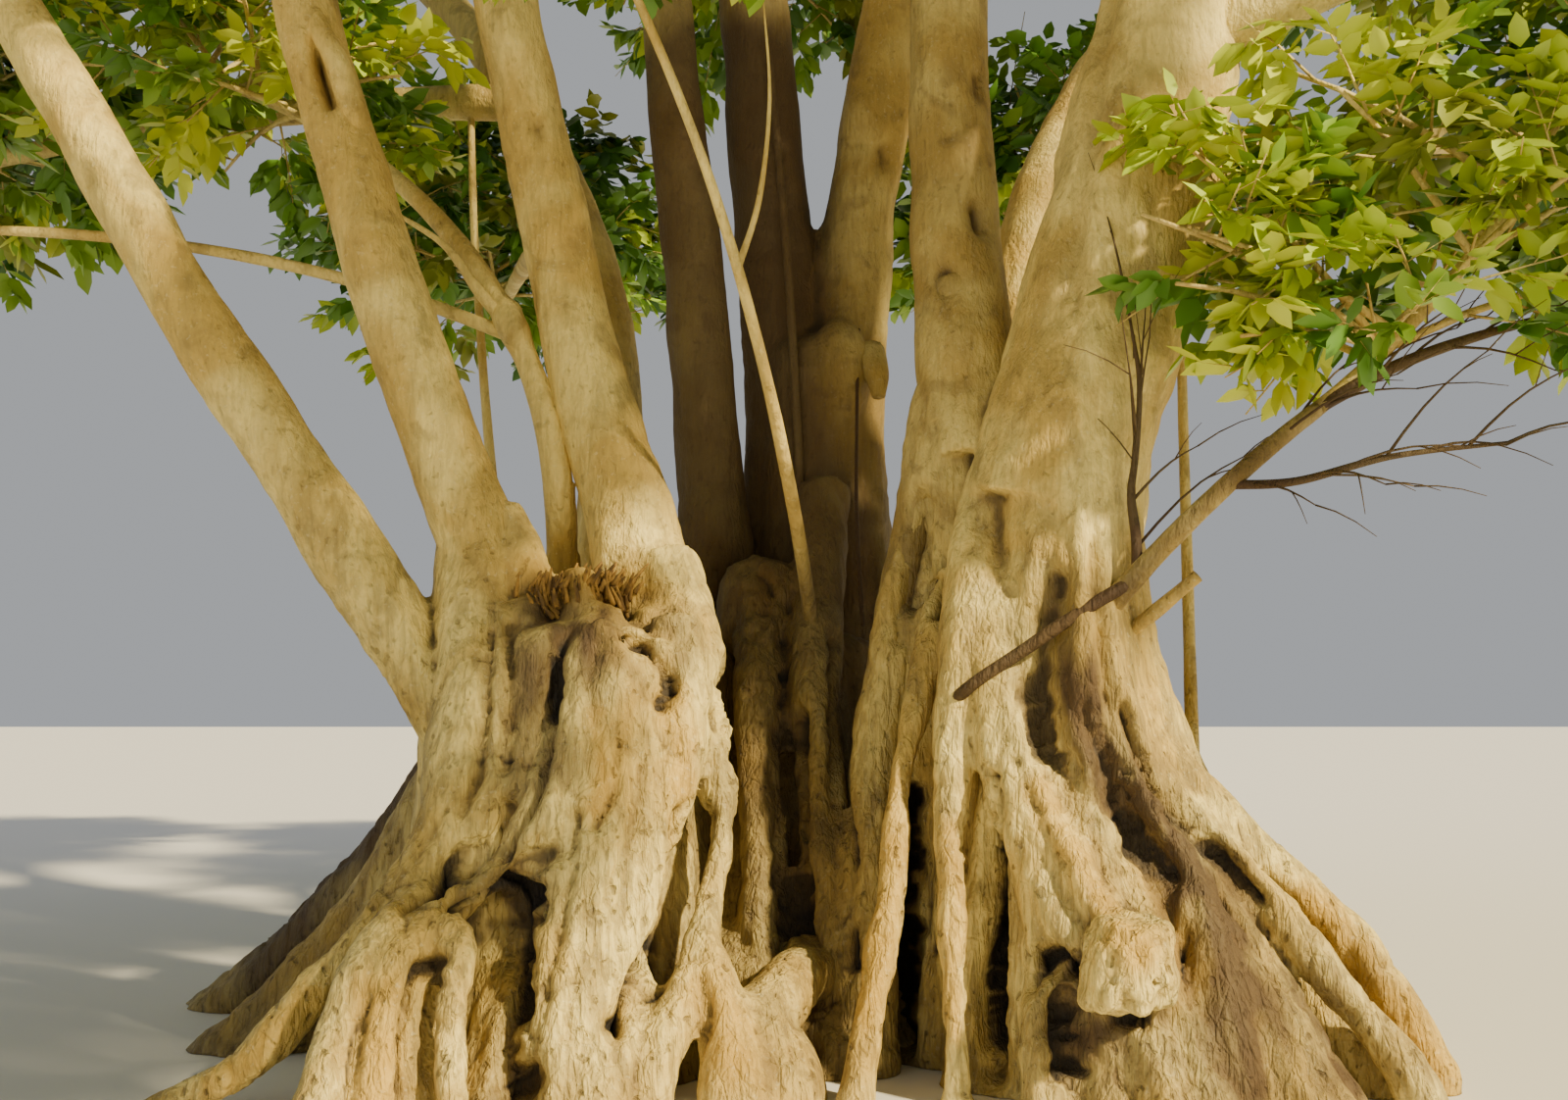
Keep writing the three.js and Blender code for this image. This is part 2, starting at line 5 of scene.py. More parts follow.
import bmesh
import bpy
import numpy as np
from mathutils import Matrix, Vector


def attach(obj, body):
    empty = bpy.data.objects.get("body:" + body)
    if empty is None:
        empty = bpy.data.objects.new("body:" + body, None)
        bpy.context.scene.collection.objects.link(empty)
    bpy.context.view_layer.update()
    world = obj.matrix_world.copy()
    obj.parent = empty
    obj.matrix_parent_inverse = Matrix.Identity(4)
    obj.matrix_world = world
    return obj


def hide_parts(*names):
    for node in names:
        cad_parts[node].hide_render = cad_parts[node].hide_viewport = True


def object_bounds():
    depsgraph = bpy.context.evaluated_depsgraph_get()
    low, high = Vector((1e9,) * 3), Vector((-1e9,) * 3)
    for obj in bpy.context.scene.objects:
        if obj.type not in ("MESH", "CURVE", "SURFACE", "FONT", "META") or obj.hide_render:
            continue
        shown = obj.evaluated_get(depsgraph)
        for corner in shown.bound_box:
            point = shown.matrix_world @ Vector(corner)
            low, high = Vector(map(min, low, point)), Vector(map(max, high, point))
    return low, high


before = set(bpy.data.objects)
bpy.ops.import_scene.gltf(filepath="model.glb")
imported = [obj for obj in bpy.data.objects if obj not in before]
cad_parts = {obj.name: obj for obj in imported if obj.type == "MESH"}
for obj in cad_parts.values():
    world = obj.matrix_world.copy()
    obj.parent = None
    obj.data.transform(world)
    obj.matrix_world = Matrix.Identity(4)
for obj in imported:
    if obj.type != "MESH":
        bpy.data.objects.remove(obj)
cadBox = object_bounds()
nodeNames = sorted(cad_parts)
goldenAngle = math.pi * (3 - math.sqrt(5))
up = np.array([0.0, 0.0, 1.0])
print("frame loaded,", len(nodeNames), "nodes")


# Numbers


def seeded(a, b, c):  # from 0 to 1, the fraction of a steep sine of three whole numbers
    wave = np.sin(a * 12.9898 + b * 78.233 + c * 37.719) * 43758.5453
    return wave - np.floor(wave)


def unit(rows):  # each row over its own length
    return rows / np.maximum(np.linalg.norm(rows, axis=-1, keepdims=True), 1e-9)


noiseMix = {  # shift of the lattice, and large odd numbers that stir a corner's place into a random value
    "shift": 71.3, "place": (374761393, 668265263, 1440662683), "seed": 974634777, "first": 2246822519,
    "last": 3266489917, "range": 32767.5,
}


def lumps(spots, size, seed):  # value noise from -1 to 1: corners of a lattice blended by 3t^2 - 2t^3
    grid = np.asarray(spots) / size + noiseMix["shift"]
    alongX, alongY, alongZ = noiseMix["place"]
    cell = np.floor(grid).astype(np.int64)
    part = grid - cell
    fade = part * part * (3 - 2 * part)
    total = np.zeros(len(grid))
    for corner in np.ndindex(2, 2, 2):
        at = cell + corner
        mixed = at[:, 0] * alongX + at[:, 1] * alongY + at[:, 2] * alongZ + seed * noiseMix["seed"]
        mixed = ((mixed ^ (mixed >> 15)) * noiseMix["first"]) & 0xFFFFFFFF
        mixed = ((mixed ^ (mixed >> 13)) * noiseMix["last"]) & 0xFFFFFFFF
        weight = np.where(corner, fade, 1 - fade).prod(axis=1)
        total += weight * ((mixed ^ (mixed >> 16)) & 0xFFFF) / noiseMix["range"]
    return total - 1


def ridges(spots, size, seed):  # from 0 to 1, high along thin winding crests
    return 1 - np.abs(lumps(spots, size, seed))


# Meshes


def meshPiece(name, verts, faces, slot, material, *nodes):  # one joined mesh that stands for its nodes
    mesh = bpy.data.meshes.new(name)
    mesh.vertices.add(len(verts))
    mesh.vertices.foreach_set("co", np.asarray(verts, np.float32).ravel())
    mesh.loops.add(faces.size)
    mesh.loops.foreach_set("vertex_index", np.asarray(faces, np.int32).ravel())
    mesh.polygons.add(len(faces))
    mesh.polygons.foreach_set("loop_start", np.arange(0, faces.size, faces.shape[1], dtype=np.int32))
    mesh.update(calc_edges=True)
    return finishPiece(bpy.data.objects.new(name, mesh), slot, material, *nodes)


def finishPiece(piece, slot, material, *nodes):  # shown smooth, in its material, on the one body
    bpy.context.scene.collection.objects.link(piece)
    piece.data.shade_smooth()
    piece.data.materials.clear()
    piece.data.materials.append(material)
    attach(piece, "root")
    if nodes:
        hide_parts(*nodes)
    return piece


def setMarks(piece, marks):  # one value for each point and mark, read by the bark
    for name, values in marks.items():
        attribute = piece.data.attributes.new(name, "FLOAT", "POINT")
        attribute.data.foreach_set("value", np.asarray(values, np.float32))


def readRows(items, field, width, kind=np.float32):  # a field of all points or edges, one row each
    values = np.zeros(len(items) * width, kind)
    items.foreach_get(field, values)
    return values.reshape(-1, width)


def joined(parts):  # several (verts, faces) as one
    counts = np.cumsum([0] + [len(verts) for verts, _ in parts])
    faces = [faces + start for (_, faces), start in zip(parts, counts)]
    return np.concatenate([verts for verts, _ in parts]), np.concatenate(faces)


def skinOf(rings):  # rings of points, closed by a pole at each end, faces pointing out
    count, around = rings.shape[:2]
    here = np.arange(count * around).reshape(count, around)
    beside = np.roll(here, -1, axis=1)
    low, right, above, cross = here[:-1], beside[:-1], here[1:], beside[1:]
    sides = np.concatenate([np.stack([low, right, cross], -1), np.stack([low, cross, above], -1)])
    foot = count * around
    first = np.stack([np.full(around, foot), beside[0], here[0]], -1)
    last = np.stack([np.full(around, foot + 1), here[-1], beside[-1]], -1)
    verts = np.concatenate([rings.reshape(-1, 3), rings[[0, -1]].mean(axis=1)])
    return verts, np.concatenate([sides.reshape(-1, 3), first, last])


def framesOf(path):  # heading of a path at each point, and the two directions square to it
    heading = unit(np.gradient(path, axis=0))
    chord = path[-1] - path[0]
    level = np.array([chord[1], -chord[0], 0.0])
    if np.linalg.norm(level) < 1e-3:
        level = np.array([1.0, 0.0, 0.0])
    side = unit(level - (heading @ level)[:, None] * heading)
    return heading, side, np.cross(heading, side)


def ringsAlong(path, radii, around):  # circles of the given radii, square to the path
    _, side, front = framesOf(path)
    angle = np.linspace(0, 2 * math.pi, around, endpoint=False)
    reach = np.cos(angle)[:, None] * side[:, None] + np.sin(angle)[:, None] * front[:, None]
    radii = np.asarray(radii)
    return path[:, None] + (radii if radii.ndim == 2 else radii[:, None])[..., None] * reach


def smoothRoute(points, step):  # Catmull-Rom through the given points; every column is carried along
    points = np.asarray(points, float)
    padded = np.concatenate([[2 * points[0] - points[1]], points, [2 * points[-1] - points[-2]]])
    spans = len(points) - 1
    length = np.linalg.norm(np.diff(points[:, :3], axis=0), axis=1).sum()
    t = np.linspace(0, spans, max(int(length / step), 4) + 1)
    span = np.minimum(t.astype(int), spans - 1)
    t = (t - span)[:, None]
    a, b, c, d = (padded[span + i] for i in range(4))
    return 0.5 * (2 * b + (c - a) * t + (2 * a - 5 * b + 4 * c - d) * t**2 + (3 * b - a - 3 * c + d) * t**3)


# Limbs: the same curves as the solids


crown = {  # rings of foliage masses: how many, how far out, how high, the turn of the first, and half sizes
    "top": (1, 0.0, 14.1, 0.0, (2.5, 2.5, 1.1)),
    "upper": (6, 4.2, 12.1, 0.0, (2.5, 2.3, 1.8)),
    "middle": (8, 7.0, 9.5, 0.0, (2.5, 2.7, 1.9)),
    "skirt": (8, 7.5, 6.5, 22.5, (2.3, 2.9, 1.7)),
}
lowMasses = {  # centre and half sizes
    "low_right": ((2.9, -1.5, 3.85), (1.7, 1.05, 1.05)),
    "low_left": ((-3.3, 0.8, 5.5), (1.5, 1.4, 0.95)),
    "far_left": ((-5.5, -0.5, 4.55), (1.1, 1.0, 0.8)),
    "front": ((-0.76, -1.75, 5.35), (1.05, 0.8, 0.7)),
}
stems = {  # base, waist at the top of the view, radius at base and tip, mass reached
    "stem_left_outer": ((-2.06, -0.95, 2.35), (-3.87, -0.95, 5.18), (0.18, 0.085), "middle_4"),
    "stem_left": ((-1.5, -0.8, 2.5), (-2.45, -0.8, 5.25), (0.2, 0.075), "upper_3"),
    "stem_slender": ((-1.16, -0.3, 2.45), (-1.46, -0.3, 3.69), (0.08, 0.045), "low_left"),
    "stem_mid_left": ((-0.81, -0.42, 2.7), (-1.47, -0.4, 5.28), (0.215, 0.075), "upper_4"),
    "stem_rear_left": ((-0.42, 0.5, 2.95), (-0.64, 0.5, 5.27), (0.19, 0.075), "upper_2"),
    "stem_centre": ((-0.05, 0.9, 4.45), (-0.16, 0.9, 5.6), (0.245, 0.08), "top_0"),
    "stem_centre_fork": ((0.43, 0.9, 4.45), (0.65, 0.95, 5.89), (0.225, 0.075), "upper_1"),
    "stem_mid_right": ((0.93, -0.58, 3.35), (0.89, -0.4, 5.45), (0.25, 0.075), "upper_5"),
    "stem_main_right": ((1.44, -1.0, 3.05), (1.97, -0.9, 5.2), (0.45, 0.095), "upper_0"),
    "stem_back_left": ((-1.1, 1.2, 2.45), (-1.65, 1.9, 5.5), (0.23, 0.085), "middle_3"),
    "stem_back_right": ((1.35, 0.55, 2.95), (1.72, 1.0, 5.04), (0.28, 0.09), "middle_1"),
}
boughs = {  # the stem it leaves and at what height, radius at root and tip, mass reached, lift of its knee
    "bough_right": ("stem_main_right", 7.4, (0.15, 0.065), "middle_0", 0.15),
    "bough_back": ("stem_centre_fork", 7.3, (0.125, 0.06), "middle_2", 0.2),
    "bough_front_left": ("stem_left", 6.9, (0.12, 0.06), "middle_5", 0.15),
    "bough_front": ("stem_mid_right", 7.2, (0.13, 0.06), "middle_6", 0.15),
    "bough_front_right": ("stem_main_right", 6.5, (0.17, 0.065), "middle_7", 0.15),
    "bough_low_right_back": ("stem_back_right", 4.7, (0.19, 0.07), "skirt_0", 0.55),
    "bough_low_back_right": ("stem_back_right", 5.9, (0.15, 0.06), "skirt_1", 0.3),
    "bough_low_back_left": ("stem_back_left", 4.7, (0.13, 0.06), "skirt_2", 0.4),
    "bough_low_left_back": ("stem_back_left", 5.9, (0.13, 0.06), "skirt_3", 0.25),
    "bough_low_left_front": ("stem_left_outer", 5.6, (0.11, 0.055), "skirt_4", 0.2),
    "bough_low_front_left": ("stem_left", 5.9, (0.12, 0.055), "skirt_5", 0.35),
    "bough_low_front_right": ("stem_main_right", 5.7, (0.15, 0.06), "skirt_6", 0.35),
    "bough_low_right_front": ("stem_main_right", 4.9, (0.17, 0.065), "skirt_7", 0.45),
}
slimLimbs = {  # root, knee, tip, radii, mass carried
    "branch_low_right": (
        (1.33, -1.33, 1.95), (1.75, -1.8, 2.52), (2.35, -1.62, 2.96), (0.055, 0.034), "low_right",
    ),
    "branch_low_left": (
        (-1.44, -0.3, 3.62), (-2.9, -0.3, 4.25), (-4.7, -0.38, 4.18), (0.038, 0.024), "far_left",
    ),
    "shoot_front": (
        (0.15, -0.18, 2.06), (-0.06, -1.15, 3.65), (-0.7, -1.62, 4.93), (0.038, 0.02), "front",
    ),
}
aerialRoots = {  # where it has rooted, the limb and share of its length that it hangs from, swing, radii
    "aerial_root_front": ((0.11, 0.43, 2.05), "stem_centre", 0.27, 0.1, (0.03, 0.018)),
    "aerial_root_left": ((-1.52, 1.54, 0.85), "bough_low_left_back", 0.1, 0.85, (0.042, 0.024)),
    "aerial_root_right": ((2.15, -0.15, 0.45), "bough_low_right_back", 0.22, 0.85, (0.042, 0.024)),
}

crownSway = {"out": 0.07, "outTurn": 2.4, "lift": 0.26, "liftTurn": 1.9, "ringTurn": 1000}
entryShare = 0.4  # a limb ends this share of a mass's half sizes inside it, towards the trunk and down
kneeShare = 0.45  # the knee of a bough stands at this share of its way
masses = {}  # centre, half sizes and the level direction away from the trunk
for ring, (count, out, height, firstTurn, reach) in crown.items():
    for i in range(count):
        turn = math.radians(firstTurn + 360 * i / count)
        outward = np.array([math.cos(turn), math.sin(turn), 0.0]) * (out > 0)
        sway = 1 + crownSway["out"] * math.sin(crownSway["outTurn"] * i + crownSway["ringTurn"] * height)
        lift = crownSway["lift"] * math.cos(crownSway["liftTurn"] * i + crownSway["ringTurn"] * out)
        masses[f"{ring}_{i}"] = (out * sway * outward + (height + lift) * up, np.array(reach), outward)
for name, (centre, reach) in lowMasses.items():
    masses[name] = (np.array(centre), np.array(reach), unit(np.array([centre[0], centre[1], 0.0])))


def curveAt(curve, share):  # root, knee and tip weighted by (1-t)^2, 2t(1-t) and t^2
    t = np.asarray(share, float)[..., None]
    root, knee, tip = curve
    return (1 - t) ** 2 * root + 2 * t * (1 - t) * knee + t**2 * tip


def entryPoint(name):  # inside the mass, on the trunk's side and below its middle
    centre, reach, outward = masses[name]
    return centre - entryShare * reach[0] * outward - entryShare * reach[2] * up


def curveThrough(base, waist, tip):  # the quadratic curve through waist, at its share of the height
    base, waist = np.array(base), np.array(waist)
    share = (waist[2] - base[2]) / (tip[2] - base[2])
    knee = (waist - (1 - share) ** 2 * base - share**2 * tip) / (2 * share * (1 - share))
    return base, knee, tip


def pointAtHeight(curve, height):
    shares = np.linspace(0, 1, 4001)
    return curveAt(curve, shares[np.argmax(curveAt(curve, shares)[:, 2] >= height)])


limbs = {}  # name: (curve, radii, mass)
for name, (base, waist, radii, mass) in stems.items():
    limbs[name] = (curveThrough(base, waist, entryPoint(mass)), radii, mass)
for name, (parent, height, radii, mass, lift) in boughs.items():
    root = pointAtHeight(limbs[parent][0], height)
    tip = entryPoint(mass)
    limbs[name] = ((root, root + kneeShare * (tip - root) + lift * up, tip), radii, mass)
for name, (root, knee, tip, radii, mass) in slimLimbs.items():
    limbs[name] = ((np.array(root), np.array(knee), np.array(tip)), radii, mass)
for name, (root, parent, share, swing, radii) in aerialRoots.items():
    foot = np.array(root)
    tip = curveAt(limbs[parent][0], share)
    knee = foot + (tip - foot) * np.array([swing, swing, 0.5])
    limbs[name] = ((foot, knee, tip), radii, None)
print("limbs laid out:", len(limbs))


# Materials: socket arithmetic in plain Python


class Wire:  # a node's output that can be added, multiplied and so on
    def __init__(self, shade, socket):
        self.shade = shade
        self.socket = socket

    def __add__(self, other):
        return self.shade.maths("ADD", self, other)

    def __sub__(self, other):
        return self.shade.maths("SUBTRACT", self, other)

    def __mul__(self, other):
        return self.shade.maths("MULTIPLY", self, other)


class Shade:  # one material and short ways to add its nodes
    def __init__(self, name, roughness=0.8):
        self.material = bpy.data.materials.new(name)
        self.material.use_nodes = True
        self.nodes = self.material.node_tree.nodes
        self.links = self.material.node_tree.links
        self.skin = self.nodes["Principled BSDF"]
        self.skin.inputs["Roughness"].default_value = roughness

    def node(self, kind, settings=None, **values):  # values by socket: its name, or i and its number
        made = self.nodes.new("ShaderNode" + kind)
        for key, value in (settings or {}).items():
            setattr(made, key, value)
        for key, value in values.items():
            self.feed(made.inputs[int(key[1:]) if key[1:].isdigit() else key.replace("_", " ")], value)
        return made

    def feed(self, socket, value):
        if isinstance(value, Wire):
            self.links.new(value.socket, socket)
        else:
            socket.default_value = value

    def maths(self, operation, first, second=0.0):
        return Wire(self, self.node("Math", {"operation": operation}, i0=first, i1=second).outputs[0])

    def blend(self, share, low, high):  # two colours, low where share is 0 and high where it is 1
        made = self.node("Mix", {"data_type": "RGBA"}, i0=share, i6=low, i7=high)
        return Wire(self, made.outputs[2])

    def between(self, value, start, end):  # 0 below start, 1 above end, smooth between them
        settings = {"interpolation_type": "SMOOTHSTEP"}
        made = self.node("MapRange", settings, Value=value, From_Min=start, From_Max=end)
        return Wire(self, made.outputs[0])

    def noise(self, coords, scale, detail=4.0, stretch=(1, 1, 1), distortion=0.0):
        placed = Wire(self, self.node("Mapping", Vector=coords, Scale=stretch).outputs[0])
        made = self.node("TexNoise", Vector=placed, Scale=scale, Detail=detail, Distortion=distortion)
        return Wire(self, made.outputs[0])

    def attribute(self, name):
        return Wire(self, self.node("Attribute", {"attribute_name": name}).outputs["Fac"])


def colour(code):  # a hex colour as linear light
    parts = [int(code[i : i + 2], 16) / 255 for i in (1, 3, 5)]
    return [*(c / 12.92 if c <= 0.04045 else ((c + 0.055) / 1.055) ** 2.4 for c in parts), 1.0]


# brown, fold and dark are the colours of painted shade; brown also colours the flecks
barkLook = {
    "pale": "#f4dd88", "tan": "#cdae5c", "grey": "#94824f", "lichen": "#77643c", "ochre": "#cfa23c",
    "light": "#f8ecbc", "brown": "#46311a", "fold": "#71572f", "dark": "#1e170e",
}
barkLayers = {  # noise: scale, detail, stretch, distortion, and the values it fades in between
    "patches": (1.9, 6.0, (1, 1, 0.7), 0.5, 0.4, 0.63),
    "streaks": (7.0, 6.0, (1, 1, 0.13), 0.4, 0.47, 0.66),
    "lichen": (4.2, 5.0, (1, 1, 0.8), 0.9, 0.54, 0.66),
    "flecks": (22.0, 5.0, (1, 1, 0.7), 0.3, 0.6, 0.72),
    "freckles": (48.0, 3.0, (1, 1, 1), 0.0, 0.6, 0.7),
    "fibres": (34.0, 8.0, (1, 1, 0.16), 0.6, 0.42, 0.68),
    "grain": (50.0, 8.0, (1, 1, 0.5), 0.0, 0.5, 0.72),
}
barkTones = [  # laid over the patches in this order: layer or mark, colour, share, and more where it is rough
    ("streaks", "grey", 0.2, 0.55),
    ("fibres", "lichen", 0.16, 0.34),
    ("grain", "tan", 0.2, 0.3),
    ("lichen", "lichen", 0.38, 0),
    ("warm", "ochre", 0.68, 0),
    ("freckles", "light", 0.22, 0),
    # painted shade: brown where the mesh marks shaded stretches, with dirt near the ground
    ("shade", "brown", 1, 0),
    ("flecks", "brown", 0.16, 0.4),
    # painted shade in creases, folds, pits and grooves, darkest in the deepest
    ("hollow", "fold", 0.9, 0),
    ("pit", "dark", 1, 0),
]
# pit is no height: it is where the shade painted in hollows turns darkest
barkRelief = {  # heights of the bump; a pair is the share, and more where it is rough
    "grain": 0.9, "flecks": (0.2, 0.7), "fibres": (0.1, 0.5), "cracks": (0.04, 0.22), "crackWidth": 0.08,
    "swell": 0.9, "swellScale": 12.0, "swellDetail": 8.0, "cellScale": 14.0, "cellStretch": (1, 1, 0.4),
    "strength": 0.8, "distance": 0.018, "pit": (0.35, 1.05), "smooth": 0.68, "patchRoughness": 0.14,
}


def barkMaterial():  # cream and tan patches, grey streaks and lichen; the mesh's marks say where it is rough or ochre, and where shade is painted on it
    shade = Shade("bark")
    coords = Wire(shade, shade.node("TexCoord").outputs["Object"])
    layers = {mark: shade.attribute(mark) for mark in ("warm", "shade", "hollow")}
    rough = shade.attribute("rough")
    noises = {name: shade.noise(coords, *numbers[:4]) for name, numbers in barkLayers.items()}
    for name, (*_, low, high) in barkLayers.items():
        layers[name] = shade.between(noises[name], low, high)
    # the darkest painted shade, in the deepest hollows
    layers["pit"] = shade.between(layers["hollow"], *barkRelief["pit"])

    def share(amount, more):
        return rough * more + amount

    tone = shade.blend(layers["patches"], colour(barkLook["pale"]), colour(barkLook["tan"]))
    for name, look, amount, more in barkTones:
        strength = share(amount, more) if more else amount
        tone = shade.blend(layers[name] * strength, tone, colour(barkLook[look]))
    shade.feed(shade.skin.inputs["Base Color"], tone)
    roughness = layers["patches"] * barkRelief["patchRoughness"] + barkRelief["smooth"]
    shade.feed(shade.skin.inputs["Roughness"], roughness)
    stretched = shade.node("Mapping", Vector=coords, Scale=barkRelief["cellStretch"]).outputs[0]
    settings = {"feature": "DISTANCE_TO_EDGE"}
    edges = shade.node("TexVoronoi", settings, Vector=Wire(shade, stretched), Scale=barkRelief["cellScale"])
    cracks = shade.between(Wire(shade, edges.outputs[0]), 0.0, barkRelief["crackWidth"])
    height = cracks * share(*barkRelief["cracks"]) + noises["grain"] * barkRelief["grain"]
    for name in ("flecks", "fibres"):
        height = height - layers[name] * share(*barkRelief[name])
    swell = shade.noise(coords, barkRelief["swellScale"], barkRelief["swellDetail"]) * barkRelief["swell"]
    strength, distance = barkRelief["strength"], barkRelief["distance"]
    bump = shade.node("Bump", Height=height + swell, Strength=strength, Distance=distance)
    shade.links.new(bump.outputs[0], shade.skin.inputs["Normal"])
    return shade.material


barkSkin = barkMaterial()
print("bark mixed")


# Trunk: columns, listed roots and knobs joined by a fine remesh, then carved


trunkColumns = {  # head x, y, z, radius, foot x, y, radius along its lean, radius across, bend, rise
    "right": [
        (1.44, -1.0, 3.05, 0.45, 1.5, -0.7, 1.08, 0.86, 2, 0),
        (1.56, -0.95, 2.35, 0.22, 2.56, -1.3, 0.33, 0.26, 1.6, 0),
        (1.43, -1.15, 2.25, 0.24, 2.1, -1.72, 0.34, 0.28, 1.6, 0),
        (1.25, -1.23, 2.15, 0.22, 1.62, -1.8, 0.3, 0.26, 1.5, 0),
        (1.1, -1.2, 2.1, 0.2, 1.22, -1.66, 0.2, 0.17, 1.4, 0),
        (1.56, -0.6, 2.2, 0.2, 2.55, 0.15, 0.3, 0.21, 1.9, 0),
        (1.25, -0.5, 2.0, 0.22, 1.8, 0.7, 0.3, 0.24, 1.7, 0),
        (0.93, -0.58, 3.35, 0.25, 0.56, -0.5, 0.44, 0.4, 0.8, 0),
    ],
    "back": [
        (1.35, 0.55, 2.95, 0.29, 1.5, 1.3, 0.52, 0.42, 1.4, 0),
        (1.5, 0.7, 2.0, 0.2, 2.5, 1.65, 0.28, 0.2, 2, 0),
        (0.19, 0.9, 3.75, 0.4, 0.18, 1.1, 0.8, 0.76, 1.5, 0),
        (-0.05, 0.9, 4.45, 0.25, 0.1, 0.9, 0.3, 0.3, 1, 3.0),
        (0.43, 0.9, 4.45, 0.23, 0.28, 0.9, 0.3, 0.3, 1, 3.0),
        (0.4, 1.2, 2.1, 0.22, 0.45, 2.45, 0.3, 0.23, 2, 0),
        (-0.1, 1.15, 2.0, 0.22, -0.55, 2.3, 0.28, 0.22, 1.9, 0),
        (-1.1, 1.2, 2.45, 0.24, -1.25, 1.45, 0.7, 0.56, 1.4, 0),
        (-1.2, 1.3, 1.9, 0.2, -2.35, 2.15, 0.28, 0.2, 2, 0),
        (-0.42, 0.5, 2.95, 0.2, -0.35, 0.6, 0.62, 0.56, 1.2, 0),
    ],
    "centre": [(0.1, 0.3, 1.95, 0.42, 0.1, 0.2, 1.1, 1.05, 1.3, 0)],
    "side_left": [
        (-0.7, 0.45, 1.85, 0.62, -0.7, 0.6, 1.25, 1.0, 1.4, 0),
        (-1.45, -0.15, 2.0, 0.3, -3.05, 0.6, 0.36, 0.24, 1.8, 0),
        (-1.48, -0.5, 1.9, 0.26, -2.6, -0.5, 0.32, 0.24, 2, 0),
    ],
    "left": [
        (-0.98, -0.78, 1.9, 0.5, -1.2, -0.85, 0.86, 0.72, 1.4, 0),
        (-0.81, -0.42, 2.7, 0.22, -0.55, -1.1, 0.2, 0.2, 0.75, 0),
        (-1.16, -0.3, 2.45, 0.095, -1.2, -0.25, 0.35, 0.3, 1, 0),
        (-1.5, -0.8, 2.5, 0.205, -1.5, -0.95, 0.3, 0.3, 1, 0),
        (-2.06, -0.95, 2.35, 0.19, -1.5, -0.93, 0.17, 0.17, 1, 1.45),
        (-1.29, -0.88, 2.25, 0.12, -1.38, -1.4, 0.22, 0.18, 1.5, 0),
        (-1.0, -1.08, 1.9, 0.2, -1.12, -1.55, 0.3, 0.24, 1.5, 0),
        (-0.72, -1.06, 1.9, 0.22, -0.8, -1.66, 0.26, 0.24, 1.5, 0),
        (-1.52, -1.35, 1.0, 0.12, -1.6, -1.9, 0.2, 0.2, 1.5, 0),
        (-0.98, -0.96, 2.3, 0.08, -0.98, -0.95, 0.18, 0.18, 1, 1.5),
        (-0.64, -0.88, 2.12, 0.09, -0.66, -0.9, 0.18, 0.18, 1, 1.4),
    ],
}
